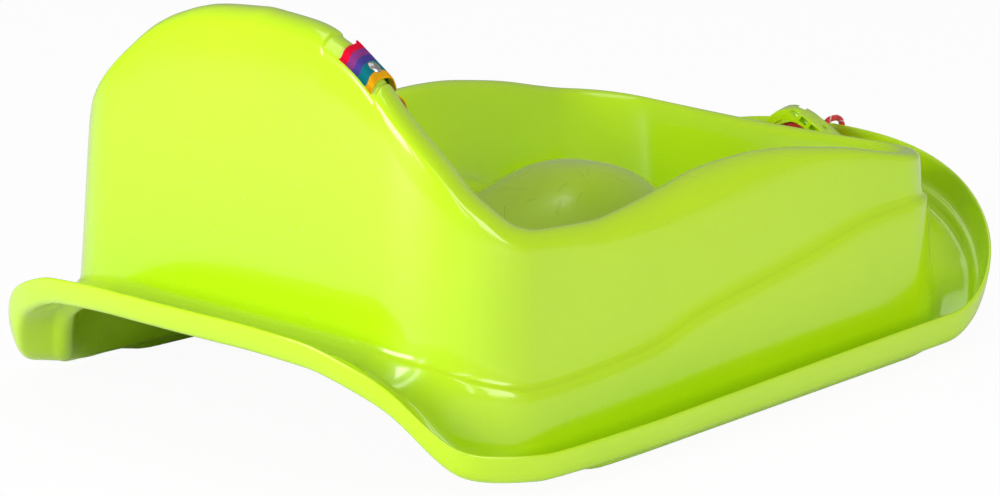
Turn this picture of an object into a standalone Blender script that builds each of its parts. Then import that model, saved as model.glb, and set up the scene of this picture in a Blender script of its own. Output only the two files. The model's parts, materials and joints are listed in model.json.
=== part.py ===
"""Child's plastic sled: one moulded shell, a shoulder belt with a side-release buckle,
and a pull rope with a handle that lies coiled on the front deck.

Frame: metres, +Z up, the bow points to -Y, and the origin is on the ground under the middle.
"""
import math

import bmesh
import bpy
import numpy as np
from mathutils import Matrix, Vector

mm = 0.001

# Driving sizes of the shell
LENGTH = 700 * mm
REAR_WIDTH = 475 * mm
FRONT_WIDTH = 435 * mm
WALL = 3 * mm
BOW_CURVE_LENGTH = 141 * mm
REAR_CURVE_LENGTH = 209 * mm
REAR_BULGE = 15 * mm
RUNNER_DEPTH = 6 * mm
RUNNER_WIDTH = 8 * mm
RUNNER_FRONT_Y = 135 * mm - LENGTH / 2
RUNNER_REAR_Y = LENGTH / 2 - 160 * mm
REAR_ARCH_HEIGHT = 80 * mm
FRONT_DECK_HEIGHT = 75 * mm
REAR_LIP_HEIGHT = 20 * mm
SIDE_LIP_HEIGHT = 24.5 * mm
BOW_RISE = 85 * mm
BOW_RISE_START = LENGTH / 2 - 133 * mm
BOW_RISE_POWER = 1.67
BAND_HEIGHT = 22 * mm
BODY_GAP = 41 * mm
REAR_LEDGE = 68 * mm
FRONT_DECK = 84 * mm
BODY_REAR_Y = LENGTH / 2 - REAR_LEDGE
BODY_FRONT_Y = FRONT_DECK - LENGTH / 2
BODY_REAR_RADIUS = 70 * mm
BODY_FRONT_RADIUS = 58 * mm
BACKREST_HEIGHT = 290 * mm
SIDE_RIM_HEIGHT = 153 * mm
HUMP_RIM_HEIGHT = 168 * mm
FRONT_RIM_HEIGHT = 132 * mm
WALL_DRAFT = 0.07
CREASE_STEP = 4 * mm
LOWER_FLARE = 5 * mm
RIM_INNER_RADIUS = 8 * mm
SEAT_HEIGHT = 105 * mm
FOOT_WELL_HEIGHT = 58 * mm
SEAT_EDGE_Y = BODY_REAR_Y - 327 * mm
FOOT_WELL_Y = BODY_FRONT_Y + 101 * mm
POMMEL_RISE = 32 * mm
POMMEL_Y = BODY_REAR_Y - 318 * mm
POMMEL_WIDTH = 104 * mm

# Driving sizes of the belt
WEBBING_WIDTH = 35 * mm
WEBBING_THICKNESS = 1.6 * mm
RECESS_DEPTH = 2.2 * mm
RIVET_HEAD = 10 * mm
RIVET_SHANK = 4.6 * mm
WASHER_DIAMETER = 10.4 * mm
WASHER_THICKNESS = 1.2 * mm
BUCKLE_WIDTH = 47 * mm
BUCKLE_HEIGHT = 11 * mm
BUCKLE_WALL = 2.2 * mm
BUCKLE_BAR = (3 * mm, 3.6 * mm)
SOCKET_LENGTH = 34 * mm
TONGUE_LENGTH = 15 * mm
PRONG_LENGTH = 19 * mm
PRONG_WIDTH = 4.5 * mm
ADJUSTER_LENGTH = 24 * mm
ADJUSTER_BAR = (4 * mm, 2.5 * mm)
ADJUSTER_RAIL = 3.5 * mm
SLIDE_FIT = 0.4 * mm

# Driving sizes of the rope and its handle
ROPE = 4.5 * mm
ROPE_HOLE = 6 * mm
ROPE_HOLE_DROP = 12 * mm
COIL_LENGTH = 72 * mm
COIL_WIDTH = 44 * mm
COIL_LAYERS = 4
COIL_TURNS_PER_LAYER = 2
COIL_GAP = 0.6 * mm
BOW_TIP = Vector((0, -LENGTH / 2, RUNNER_DEPTH + FRONT_DECK_HEIGHT + WALL))
COIL_PLACE = (16 * mm, BOW_TIP.y + 45 * mm)
KNOT_DIAMETER = 12 * mm
KNOT_LENGTH = 15 * mm
HANDLE_LENGTH = 74 * mm
HANDLE_HEIGHT = 23 * mm
HANDLE_BAR = 7.5 * mm
HANDLE_DEPTH = 20 * mm
HANDLE_CLAW = 6 * mm
HANDLE_POCKETS = 6
HANDLE_POCKET = (6.4 * mm, 4.6 * mm, 5.5 * mm)

GAP = 0.3 * mm

LIME = (0.55, 0.86, 0.03, 1.0)


def smooth_through(knots, x):
    """Monotone cubic curve through (x, value) knots, flat outside them."""
    xs = [k[0] for k in knots]
    ys = [k[1] for k in knots]
    if x <= xs[0]:
        return ys[0]
    if x >= xs[-1]:
        return ys[-1]
    slopes = [(ys[i + 1] - ys[i]) / (xs[i + 1] - xs[i]) for i in range(len(xs) - 1)]
    tangents = [slopes[0]]
    for left, right in zip(slopes, slopes[1:]):
        tangents.append(0.0 if left * right <= 0 else 2 * left * right / (left + right))
    tangents.append(slopes[-1])
    i = max(k for k in range(len(slopes)) if xs[k] <= x)
    width = xs[i + 1] - xs[i]
    u = (x - xs[i]) / width
    start = (1 + 2 * u) * (1 - u) ** 2 * ys[i] + u * (1 - u) ** 2 * width * tangents[i]
    end = u * u * (3 - 2 * u) * ys[i + 1] + u * u * (u - 1) * width * tangents[i + 1]
    return start + end


def ease(t):
    t = min(max(t, 0.0), 1.0)
    return t * t * (3 - 2 * t)


# Shares that shape the moulding's long curves, each from 1 (full height) to 0
REAR_ARCH_SHAPE = [(0, 1), (0.227, 1), (0.482, 0.96), (0.737, 0.72), (0.994, 0.12), (1.25, 0)]
BOW_ARCH_SHAPE = [(0, 1), (0.276, 0.973), (0.46, 0.867), (0.644, 0.72), (0.78, 0.573),
                  (0.887, 0.453), (0.966, 0.267), (1.08, 0.093), (1.195, 0.027), (1.333, 0)]
BACKREST_SHAPE = [(0, 1), (0.39, 0.974), (0.63, 0.916), (0.79, 0.847), (1, 0.697), (1.21, 0.551),
                  (1.41, 0.398), (1.52, 0.288), (1.67, 0.186), (1.83, 0.091), (2, 0.047), (2.17, 0)]
HUMP_SHAPE = [(2.17, 0), (2.32, 0.33), (2.46, 0.82), (2.61, 1)]
FRONT_SHAPE = [(2.61, 1), (2.7, 0.946), (2.78, 0.82), (2.87, 0.65), (2.94, 0.47), (3, 0.3),
               (3.5, 0.12), (4, 0.03), (5, 0)]

# The crease round the body: its height above the ground along the outline
CREASE_REAR_HEIGHT = 86 * mm
CREASE_SIDE_HEIGHT = 58 * mm
CREASE_FRONT_HEIGHT = 105 * mm
CREASE_REAR_SHAPE = [(1, 1), (1.33, 0.79), (1.67, 0.36), (2, 0.04), (2.1, 0)]
CREASE_FRONT_SHAPE = [(2.1, 0), (2.3, 0.1), (2.41, 0.35), (2.63, 0.6), (2.78, 0.81), (2.89, 0.97), (3, 1)]

# How round and how wide the rim is along the outline
RIM_OUTER_RADIUS = 14 * mm
RIM_SIDE_RADIUS = 25 * mm
RIM_FRONT_RADIUS = 7 * mm
RIM_SIDE_SHAPE = [(2.08, 0), (2.25, 0.55), (2.35, 0.9), (2.45, 1), (2.6, 0.45), (2.75, 0)]
RIM_FRONT_SHAPE = [(2.6, 0), (2.9, 0.9), (3, 1)]
RIM_FLAT_REAR = 8 * mm
RIM_FLAT_FRONT = 3 * mm

# Distance from the body's outline at the crease in to the foot of the seat's walls
SEAT_REAR_INSET = 92 * mm
SEAT_SIDE_INSET = 56 * mm
SEAT_FRONT_INSET = 38 * mm
SEAT_CORNER_RADIUS = 48 * mm

# The recess for the belt's end on the right shoulder of the backrest, and the belt in it
BELT_CENTRE_X = REAR_WIDTH / 2 - 134.5 * mm
BELT_HALF_SPAN = 15 * mm
RECESS_START_X = BELT_CENTRE_X - 31 * mm
RECESS_END_X = BELT_CENTRE_X + BELT_HALF_SPAN + 1.8 * mm
RECESS_EDGE = 3.2 * mm

LIP_EDGE = 0.8 * mm


def side_slope():
    straight = LENGTH - REAR_CURVE_LENGTH - BOW_CURVE_LENGTH
    return (REAR_WIDTH - FRONT_WIDTH) / 2 / straight


def lip_side_x(y):
    """Half width of the lip on its straight, slightly tapered side."""
    return REAR_WIDTH / 2 + side_slope() * (y - (LENGTH / 2 - REAR_CURVE_LENGTH))


def lip_outline():
    """Half of the lip's outer edge seen from above: rear middle, side, bow tip."""
    points = []
    for k in range(81):
        a = math.pi / 2 * (1 - k / 80)
        x = REAR_WIDTH / 2 * (1 - math.sin(a) ** 2) ** (1 / 4.5)
        y = LENGTH / 2 - REAR_CURVE_LENGTH * (1 - abs(math.sin(a)) ** (2 / 4.5))
        points.append((x, y - REAR_BULGE * (x / (REAR_WIDTH / 2)) ** 2))
    for k in range(121):
        a = math.pi / 2 * k / 120
        x = FRONT_WIDTH / 2 * (1 - math.sin(a) ** 2) ** (1 / 2.5)
        y = -LENGTH / 2 + BOW_CURVE_LENGTH * (1 - abs(math.sin(a)) ** (2 / 2.5))
        points.append((x, y))
    return np.array(points)


LIP = lip_outline()
LIP_STEPS = np.hypot(*np.diff(LIP, axis=0).T)
LIP_DISTANCE = np.concatenate([[0.0], np.cumsum(LIP_STEPS)])


def lip_hit(point, normal):
    """Where the line out of the body along normal meets the lip, and how far round that is."""
    across = np.array([-normal[1], normal[0]])
    offsets = (LIP - point) @ across
    ahead = (LIP - point) @ normal
    for k in range(len(LIP) - 1):
        crosses = offsets[k] * offsets[k + 1] <= 0 and offsets[k] != offsets[k + 1]
        if crosses and ahead[k] > 0:
            u = offsets[k] / (offsets[k] - offsets[k + 1])
            return LIP[k] + u * (LIP[k + 1] - LIP[k]), LIP_DISTANCE[k] + u * LIP_STEPS[k]
    return LIP[-1], LIP_DISTANCE[-1]


def rounded_outline(p, rear_y, front_y, side_x, rear_radius, front_radius):
    """Point and outward normal at p: 0-1 rear, 1-2 rear corner, 2-3 side, 3-4 front corner, 4-5 front."""
    rear_centre = np.array([side_x(rear_y - rear_radius) - rear_radius, rear_y - rear_radius])
    front_centre = np.array([side_x(front_y + front_radius) - front_radius, front_y + front_radius])
    if p <= 1:
        return np.array([p * rear_centre[0], rear_y]), np.array([0.0, 1.0])
    if p <= 2:
        a = (p - 1) * math.pi / 2
        normal = np.array([math.sin(a), math.cos(a)])
        return rear_centre + rear_radius * normal, normal
    if p <= 3:
        y = rear_centre[1] + (p - 2) * (front_centre[1] - rear_centre[1])
        return np.array([side_x(y), y]), np.array([1.0, 0.0])
    if p <= 4:
        a = (p - 3) * math.pi / 2
        normal = np.array([math.cos(a), -math.sin(a)])
        return front_centre + front_radius * normal, normal
    return np.array([(5 - p) * front_centre[0], front_y]), np.array([0.0, -1.0])


def body_outline(p):
    return rounded_outline(p, BODY_REAR_Y, BODY_FRONT_Y, lambda y: lip_side_x(y) - BODY_GAP,
                           BODY_REAR_RADIUS, BODY_FRONT_RADIUS)


def seat_outline(p):
    return rounded_outline(p, BODY_REAR_Y - SEAT_REAR_INSET, BODY_FRONT_Y + SEAT_FRONT_INSET,
                           lambda y: lip_side_x(y) - BODY_GAP - SEAT_SIDE_INSET,
                           SEAT_CORNER_RADIUS, SEAT_CORNER_RADIUS)[0]


def rear_p(x):
    """The outline's p for a place x on the flat of the rear."""
    return x / (lip_side_x(BODY_REAR_Y - BODY_REAR_RADIUS) - BODY_GAP - BODY_REAR_RADIUS)


def rim_height(p):
    if p < 2.17:
        return SIDE_RIM_HEIGHT + (BACKREST_HEIGHT - SIDE_RIM_HEIGHT) * smooth_through(BACKREST_SHAPE, p)
    if p < 2.61:
        return SIDE_RIM_HEIGHT + (HUMP_RIM_HEIGHT - SIDE_RIM_HEIGHT) * smooth_through(HUMP_SHAPE, p)
    return FRONT_RIM_HEIGHT + (HUMP_RIM_HEIGHT - FRONT_RIM_HEIGHT) * smooth_through(FRONT_SHAPE, p)


def crease_height(p):
    rear = (CREASE_REAR_HEIGHT - CREASE_SIDE_HEIGHT) * smooth_through(CREASE_REAR_SHAPE, p)
    front = (CREASE_FRONT_HEIGHT - CREASE_SIDE_HEIGHT) * smooth_through(CREASE_FRONT_SHAPE, p)
    return CREASE_SIDE_HEIGHT + rear + front


def rim_radius(p):
    side = (RIM_SIDE_RADIUS - RIM_OUTER_RADIUS) * smooth_through(RIM_SIDE_SHAPE, p)
    front = (RIM_FRONT_RADIUS - RIM_OUTER_RADIUS) * smooth_through(RIM_FRONT_SHAPE, p)
    return RIM_OUTER_RADIUS + side + front


def seat_floor(x, y):
    """Height of the seat, the foot well in front of it and the pommel between the legs."""
    well = ease((SEAT_EDGE_Y - y) / (SEAT_EDGE_Y - FOOT_WELL_Y))
    base = SEAT_HEIGHT + (FOOT_WELL_HEIGHT - SEAT_HEIGHT) * well
    behind = ease(1 - (y - POMMEL_Y) / (118 * mm))
    before = ease(1 - (POMMEL_Y - y) / (185 * mm))
    crest = base + (SEAT_HEIGHT + POMMEL_RISE - base) * min(behind, before)
    across = math.exp(-(abs(x) / (POMMEL_WIDTH / 2)) ** 3)
    return base + (crest - base) * across


def section(p):
    """The moulding's top line at p as (distance in from the lip, height), with its main marks."""
    body, normal = body_outline(p)
    lip, way = lip_hit(body, normal)
    seat = seat_outline(p)
    reach = float(np.hypot(*(body - lip)))
    foot = reach + float(np.hypot(*(seat - body)))
    y = lip[1]

    rear_share = smooth_through(REAR_ARCH_SHAPE, way / (REAR_WIDTH / 2))
    bow_share = smooth_through(BOW_ARCH_SHAPE, (LIP_DISTANCE[-1] - way) / (FRONT_WIDTH / 2))
    base = RUNNER_DEPTH + REAR_ARCH_HEIGHT * rear_share + FRONT_DECK_HEIGHT * bow_share
    forward = ease((LENGTH / 2 - y) / (LENGTH / 2 + BOW_RISE_START))
    lip_height = REAR_LIP_HEIGHT + (SIDE_LIP_HEIGHT - REAR_LIP_HEIGHT) * forward
    rise = max(0.0, (-BOW_RISE_START - y) / (LENGTH / 2 - BOW_RISE_START)) ** BOW_RISE_POWER
    top = RUNNER_DEPTH + REAR_ARCH_HEIGHT * rear_share + lip_height + BOW_RISE * rise
    floor = base + WALL
    shelf = max(floor, top - BAND_HEIGHT)
    wall_floor = floor - 10 * mm * rear_share

    crease = crease_height(p)
    rim = rim_height(p)
    outer = rim_radius(p)
    flat = RIM_FLAT_REAR + (RIM_FLAT_FRONT - RIM_FLAT_REAR) * ease(p - 1.5)
    inner = RIM_INNER_RADIUS
    wall_in = reach + WALL_DRAFT * (rim - outer - crease)
    fillet = min(7 * mm, 0.45 * (crease - wall_floor))
    wall_out = reach - CREASE_STEP - LOWER_FLARE

    runs = ease((y - RUNNER_FRONT_Y) / (14 * mm)) * ease((RUNNER_REAR_Y - y) / (14 * mm))
    groove = RUNNER_DEPTH * runs if 1.5 < p < 3.5 else 0.0
    floor_end = wall_out - 5 * mm
    spare = max(0.0, floor_end - 27 * mm)
    room = floor_end - 13.4 * mm
    middle = 13.4 * mm + 0.5 * room
    half = min(RUNNER_WIDTH / 2, 0.19 * room)
    slope = min(2 * mm, 0.12 * room)

    points = [
        (WALL, top - LIP_EDGE),
        (WALL + 3 * mm, shelf + 5 * mm),
        (WALL + 5 * mm, shelf + 1.3 * mm),
        (WALL + 6.8 * mm, shelf),
        (WALL + 9.4 * mm + 0.06 * spare, shelf),
        (WALL + 10.4 * mm + 0.06 * spare, floor),
        (middle - half - slope, floor),
        (middle - half, floor - groove),
        (middle + half, floor - groove),
        (middle + half + slope, floor),
        (floor_end, wall_floor),
        (floor_end + 3 * mm, wall_floor + 0.3 * fillet),
        (wall_out, wall_floor + fillet),
        (reach - CREASE_STEP - 0.6 * mm, crease - 3.5 * mm),
        (reach - CREASE_STEP + 0.6 * mm, crease - 0.8 * mm),
        (reach - 1 * mm, crease + 0.8 * mm),
        (reach, crease + 3.2 * mm),
        (wall_in, rim - outer),
    ]
    for degrees in (24, 34, 62, 90):
        a = math.radians(degrees)
        points.append((wall_in + outer * (1 - math.cos(a)), rim - outer + outer * math.sin(a)))
    edge = wall_in + outer + flat
    for degrees in (0, 50, 85):
        a = math.radians(degrees)
        points.append((edge + inner * math.sin(a), rim - inner + inner * math.cos(a)))
    ground = seat_floor(*seat)
    points.append((foot - 7 * mm, ground + 13 * mm))
    points.append((foot - 2 * mm, ground + 4 * mm))
    points.append((foot + 6 * mm, ground))
    return np.array(points), lip, body, seat, normal, reach


RECESS_ROWS = range(19, 25)


def offset_section(points, amount):
    """The section's line moved square to itself; a positive amount lifts it off the top face."""
    steps = np.diff(points, axis=0)
    steps = steps / np.maximum(np.hypot(steps[:, 0], steps[:, 1]), 1e-9)[:, None]
    normals = np.stack([-steps[:, 1], steps[:, 0]], axis=1)
    before = np.vstack([normals[:1], normals])
    after = np.vstack([normals, normals[-1:]])
    mitre = (before + after) / (1 + np.sum(before * after, axis=1))[:, None]
    return points + amount * mitre


def in_recess(p, side):
    return side < 0 and rear_p(RECESS_START_X) - 1e-6 <= p <= rear_p(RECESS_END_X) + 1e-6


def place(points, lip, body, seat, normal, reach, side):
    """Section points in space; inside the crease they run towards the foot of the seat wall."""
    inward = seat - body
    inward = inward / np.hypot(*inward)
    placed = []
    for distance, z in points:
        if distance <= reach:
            xy = lip - normal * distance
        else:
            xy = body + inward * (distance - reach)
        placed.append((side * xy[0], xy[1], z))
    return placed


def shell_rows(p, side, lift=0.0):
    """One station of the shell's top face, lifted off it by lift, as points in space."""
    points, lip, body, seat, normal, reach = section(p)
    if in_recess(p, side):
        sunk = offset_section(points, -RECESS_DEPTH)
        points[RECESS_ROWS] = sunk[RECESS_ROWS]
    if lift:
        points = offset_section(points, lift)
    return place(points, lip, body, seat, normal, reach, side)


def station_list():
    """The p of each station on one half, crowded where the belt's recess begins and ends."""
    flats = [0, 22 * mm, 42 * mm, RECESS_START_X - RECESS_EDGE, RECESS_START_X,
             BELT_CENTRE_X - BELT_HALF_SPAN, BELT_CENTRE_X, BELT_CENTRE_X + BELT_HALF_SPAN,
             RECESS_END_X, RECESS_END_X + RECESS_EDGE]
    stations = [rear_p(x) for x in flats] + [1.0]
    stations += [1 + k / 6 for k in range(1, 7)]
    stations += [2 + k / 8 for k in range(1, 9)]
    stations += [3 + k / 5 for k in range(1, 6)]
    stations += [4 + k / 3 for k in range(1, 4)]
    return stations


FLOOR_RINGS = (0.2, 0.4, 0.6, 0.78, 0.93)
SPINE_REAR_Y = BODY_REAR_Y - SEAT_REAR_INSET - 70 * mm
SPINE_FRONT_Y = BODY_FRONT_Y + SEAT_FRONT_INSET + 78 * mm
SPINE_POINT = 0.3


def floor_rows(start):
    """The seat's floor from the foot of its wall in towards the middle line."""
    rows = []
    taper = SPINE_POINT * abs(start[0])
    spine_y = min(max(start[1], SPINE_FRONT_Y + taper), SPINE_REAR_Y - taper)
    for share in FLOOR_RINGS:
        x = start[0] * (1 - share)
        y = start[1] + (spine_y - start[1]) * share
        rows.append((x, y, seat_floor(x, y)))
    return rows


def build_shell_mesh():
    half = station_list()
    loop = [(p, 1) for p in half] + [(p, -1) for p in half[-2:0:-1]]
    top_face = []
    under_face = []
    for p, side in loop:
        upper = shell_rows(p, side)
        lower = shell_rows(p, side, -WALL)
        points, lip, body, seat, normal, reach = section(p)
        edge_height = points[0][1] + LIP_EDGE
        edges = place([(WALL - LIP_EDGE, edge_height), (LIP_EDGE, edge_height)],
                      lip, body, seat, normal, reach, side)
        floor = floor_rows(upper[-1])
        under_floor = [(x, y, z - WALL) for x, y, z in floor]
        lower[-1] = (upper[-1][0], upper[-1][1], upper[-1][2] - WALL)
        top_face.append([edges[0]] + upper + floor)
        under_face.append([edges[1]] + lower + under_floor)
    mesh = bmesh.new()
    grids = []
    for face in (top_face, under_face):
        grids.append([[mesh.verts.new(point) for point in row] for row in face])
    count = len(loop)
    depth = len(top_face[0])
    for grid in grids:
        for i in range(count):
            j = (i + 1) % count
            for k in range(depth - 1):
                mesh.faces.new((grid[i][k], grid[j][k], grid[j][k + 1], grid[i][k + 1]))
        last = depth - 1
        for i in range(count // 2):
            a, b = grid[i][last], grid[i + 1][last]
            c, d = grid[(count - i - 1) % count][last], grid[(count - i) % count][last]
            corners = [a, b]
            for vertex in (c, d):
                if vertex not in corners:
                    corners.append(vertex)
            mesh.faces.new(corners)
    for i in range(count):
        j = (i + 1) % count
        mesh.faces.new((grids[0][i][0], grids[0][j][0], grids[1][j][0], grids[1][i][0]))
    bmesh.ops.recalc_face_normals(mesh, faces=mesh.faces)
    return mesh


def material(name, colour, roughness, metallic=0.0):
    made = bpy.data.materials.new(name)
    made.use_nodes = True
    shader = made.node_tree.nodes["Principled BSDF"]
    shader.inputs["Base Color"].default_value = colour
    shader.inputs["Roughness"].default_value = roughness
    shader.inputs["Metallic"].default_value = metallic
    return made


def add_object(name, mesh, look, smooth_angle=None):
    data = bpy.data.meshes.new(name)
    mesh.to_mesh(data)
    mesh.free()
    if look:
        data.materials.append(look)
    made = bpy.data.objects.new(name, data)
    bpy.context.collection.objects.link(made)
    if smooth_angle is not None:
        data.shade_smooth()
        data.set_sharp_from_angle(angle=math.radians(smooth_angle))
    return made


def cut(target, tool_mesh, name, operation="DIFFERENCE"):
    """Take the tool's shape out of the target, or join it on, with a Boolean."""
    tool = add_object(name, tool_mesh, None)
    tool.hide_render = True
    tool.display_type = "WIRE"
    step = target.modifiers.new(name, "BOOLEAN")
    step.operation = operation
    step.solver = "EXACT"
    step.object = tool


def local_frame(origin, along, up):
    """Matrix whose X runs along, whose Z is as near to up as it can be."""
    x = Vector(along).normalized()
    y = Vector(up).cross(x).normalized()
    z = x.cross(y)
    turn = Matrix((x, y, z)).transposed().to_4x4()
    return Matrix.Translation(Vector(origin)) @ turn


def box(low, high, frame, bevel=0.0):
    """A box between two corners given in the frame."""
    mesh = bmesh.new()
    low, high = Vector(low), Vector(high)
    size = Matrix.Diagonal((high - low).to_4d())
    size[3][3] = 1.0
    bmesh.ops.create_cube(mesh, size=1.0, matrix=Matrix.Translation((low + high) / 2) @ size)
    if bevel:
        bmesh.ops.bevel(mesh, geom=mesh.edges[:], offset=bevel, segments=2, profile=0.5, affect="EDGES")
    mesh.transform(frame)
    return mesh


def extruded(outline, half_width, frame):
    """An outline of (x, z) points in the frame, as wide as half_width on both sides."""
    mesh = bmesh.new()
    area = sum(a[0] * b[1] - b[0] * a[1] for a, b in zip(outline, outline[1:] + outline[:1]))
    if area < 0:
        outline = outline[::-1]
    sides = [[mesh.verts.new((x, y, z)) for x, z in outline] for y in (-half_width, half_width)]
    mesh.faces.new(sides[0])
    mesh.faces.new(sides[1][::-1])
    for i in range(len(outline)):
        j = (i + 1) % len(outline)
        mesh.faces.new((sides[0][j], sides[0][i], sides[1][i], sides[1][j]))
    mesh.transform(frame)
    return mesh


def turned(profile, frame, segments=20):
    """A solid turned about the frame's Z from (radius, height) points that start and end on it."""
    mesh = bmesh.new()
    rings = []
    for radius, height in profile:
        if radius < 1e-9:
            rings.append([mesh.verts.new((0, 0, height))])
            continue
        rings.append([mesh.verts.new((radius * math.cos(2 * math.pi * k / segments),
                                      radius * math.sin(2 * math.pi * k / segments), height))
                      for k in range(segments)])
    for a, b in zip(rings, rings[1:]):
        for k in range(segments):
            n = (k + 1) % segments
            corners = [a[k % len(a)], a[n % len(a)], b[n % len(b)], b[k % len(b)]]
            unique = []
            for vertex in corners:
                if vertex not in unique:
                    unique.append(vertex)
            mesh.faces.new(unique)
    bmesh.ops.recalc_face_normals(mesh, faces=mesh.faces)
    mesh.transform(frame)
    return mesh


def ring(outer, inner, height, frame, segments=20):
    """A washer standing on the frame's XY plane."""
    mesh = bmesh.new()
    loops = []
    for radius, z in ((outer, 0), (outer, height), (inner, height), (inner, 0)):
        loops.append([mesh.verts.new((radius * math.cos(2 * math.pi * k / segments),
                                      radius * math.sin(2 * math.pi * k / segments), z))
                      for k in range(segments)])
    for i in range(4):
        a, b = loops[i], loops[(i + 1) % 4]
        for k in range(segments):
            n = (k + 1) % segments
            mesh.faces.new((a[k], a[n], b[n], b[k]))
    bmesh.ops.recalc_face_normals(mesh, faces=mesh.faces)
    mesh.transform(frame)
    return mesh


def slab(lower, upper):
    """A closed sheet between two grids of points."""
    mesh = bmesh.new()
    low = [[mesh.verts.new(point) for point in row] for row in lower]
    high = [[mesh.verts.new(point) for point in row] for row in upper]
    rows, columns = len(low), len(low[0])
    for i in range(rows - 1):
        for j in range(columns - 1):
            mesh.faces.new((low[i][j], low[i][j + 1], low[i + 1][j + 1], low[i + 1][j]))
            mesh.faces.new((high[i][j], high[i + 1][j], high[i + 1][j + 1], high[i][j + 1]))
    for i in range(rows - 1):
        for j in (0, columns - 1):
            mesh.faces.new((low[i][j], low[i + 1][j], high[i + 1][j], high[i][j]))
    for j in range(columns - 1):
        for i in (0, rows - 1):
            mesh.faces.new((low[i][j], high[i][j], high[i][j + 1], low[i][j + 1]))
    bmesh.ops.recalc_face_normals(mesh, faces=mesh.faces)
    return mesh


def ribbon_rows(path, side=1.0):
    """Faces of a webbing ribbon; path holds (centre, width direction) for each row."""
    half = WEBBING_WIDTH / 2
    centres = [Vector(c) for c, w in path]
    lower, upper = [], []
    for i, (centre, width) in enumerate(path):
        tangent = centres[min(i + 1, len(path) - 1)] - centres[max(i - 1, 0)]
        width = Vector(width)
        width = (width - tangent * (width.dot(tangent) / tangent.length_squared)).normalized()
        normal = tangent.cross(width).normalized() * side
        row = [centres[i] + width * half * share for share in (-1, 0, 1)]
        lower.append([point - normal * WEBBING_THICKNESS / 2 for point in row])
        upper.append([point + normal * WEBBING_THICKNESS / 2 for point in row])
    return lower, upper


# The belt's route from the foot of the body's rear at seat height: the stretch that hangs free
SEAT_BACK = Vector((0, BODY_REAR_Y, SEAT_HEIGHT))
STRAIGHT_TOP = SEAT_BACK + Vector((29 * mm - BELT_CENTRE_X, -64 * mm, 129.5 * mm))
STRAIGHT_END = SEAT_BACK + Vector((-18, -115, 49)) * mm
STRAIGHT_WIDTH = Vector((-0.72, -0.35, -0.42))
BUCKLE_START = SEAT_BACK + Vector((48 * mm, -166 * mm, BUCKLE_HEIGHT / 2 + 1 * mm))
BUCKLE_DIRECTION = Vector((0.849, -0.529, 0.0))
BELT_TAIL = 18 * mm
ANCHOR_Y = BODY_REAR_Y - 236 * mm
ONTO_SEAT = [(-6, -125.5, 31), (3.5, -133, 19), (14, -141, 12), (28, -151, 9.8)]


def belt_on_rim():
    """The belt's rows that lie in the recess over the rim, as lower and upper faces."""
    columns = [rear_p(BELT_CENTRE_X + share * BELT_HALF_SPAN) for share in (-1, 0, 1)]
    rise = (rim_height(columns[0]) - rim_height(columns[2])) / (2 * BELT_HALF_SPAN)
    stretch = math.hypot(1.0, rise)
    lower, upper = [], []
    sheets = []
    for lift in (GAP, GAP + WEBBING_THICKNESS):
        sheets.append([shell_rows(p, -1, lift * stretch) for p in columns])
    for k in range(18, 23):
        lower.append([Vector(column[k]) for column in sheets[0]])
        upper.append([Vector(column[k]) for column in sheets[1]])
    return lower, upper


def buckle_frame():
    return local_frame(BUCKLE_START, BUCKLE_DIRECTION, (0, 0, 1))


def loop_round_bar(bar_u, away):
    """Webbing round a buckle's bar, from above it to below it; away is the way it leaves."""
    radius = BUCKLE_BAR[1] / 2 + SLIDE_FIT + 0.4 * mm + WEBBING_THICKNESS / 2
    frame = buckle_frame()
    points = []
    for k in range(7):
        a = math.pi * k / 6
        points.append(frame @ Vector((bar_u - away * radius * math.sin(a), 0, radius * math.cos(a))))
    points.append(frame @ Vector((bar_u + away * BELT_TAIL, 0, -radius)))
    return points


def build_upper_strap(look):
    lower, upper = belt_on_rim()
    width = Vector(lower[-1][2]) - Vector(lower[-1][0])
    arch = width.normalized()
    frame = buckle_frame()
    across = frame.to_3x3() @ Vector((0, -1, 0))
    bar_centre = BUCKLE_BAR[0] / 2
    loop = loop_round_bar(bar_centre, -1)
    crest = (lower[-1][1] + upper[-1][1]) / 2
    twist = STRAIGHT_WIDTH.normalized()
    path = [
        (crest, arch),
        (crest + Vector((3, -7, -2)) * mm, arch.lerp(twist, 0.12)),
        (crest + Vector((8, -14, -7.5)) * mm, arch.lerp(twist, 0.35)),
        (crest + Vector((14, -20, -15.5)) * mm, arch.lerp(twist, 0.62)),
        (crest + Vector((21, -25.5, -25.5)) * mm, arch.lerp(twist, 0.88)),
        (STRAIGHT_TOP, twist),
        (STRAIGHT_TOP.lerp(STRAIGHT_END, 0.5), twist),
        (STRAIGHT_END, twist),
    ]
    for point, share in zip(ONTO_SEAT, (0.35, 0.7, 1, 1)):
        path.append((SEAT_BACK + Vector(point) * mm, twist.lerp(across, share)))
    path += [(point, across) for point in loop]
    low, high = ribbon_rows(path)
    if (high[2][1] - low[2][1]).z < 0:
        low, high = high, low
    strap = add_object("belt_upper_strap", slab(lower + low[1:], upper + high[1:]), look, 40)
    return strap, lower, upper


def rim_rivet_frame(lower, upper):
    """Frame on the belt's top over the rim's crest, with Z square to the belt."""
    corners = [upper[3][1], upper[3][2], upper[4][2], upper[4][1]]
    centre = sum(corners, Vector()) / 4
    along = corners[1] - corners[0]
    up = along.cross(corners[3] - corners[0])
    if up.z < 0:
        up = -up
    return local_frame(centre, along, up)


def rivet(name, frame, stack, look):
    """A domed rivet whose head lies on the belt and whose tail spreads under its washer."""
    head = RIVET_HEAD / 2
    shank = RIVET_SHANK / 2
    tail = -stack - WASHER_THICKNESS - 2 * GAP
    profile = [(0, 2.4 * mm), (0.45 * head, 2.2 * mm), (0.8 * head, 1.5 * mm), (head, 0.6 * mm),
               (head, GAP), (shank, GAP), (shank, tail), (0.75 * head, tail),
               (0.6 * head, tail - 1.3 * mm), (0, tail - 1.5 * mm)]
    return add_object(name, turned(profile, frame), look, 35)


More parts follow.
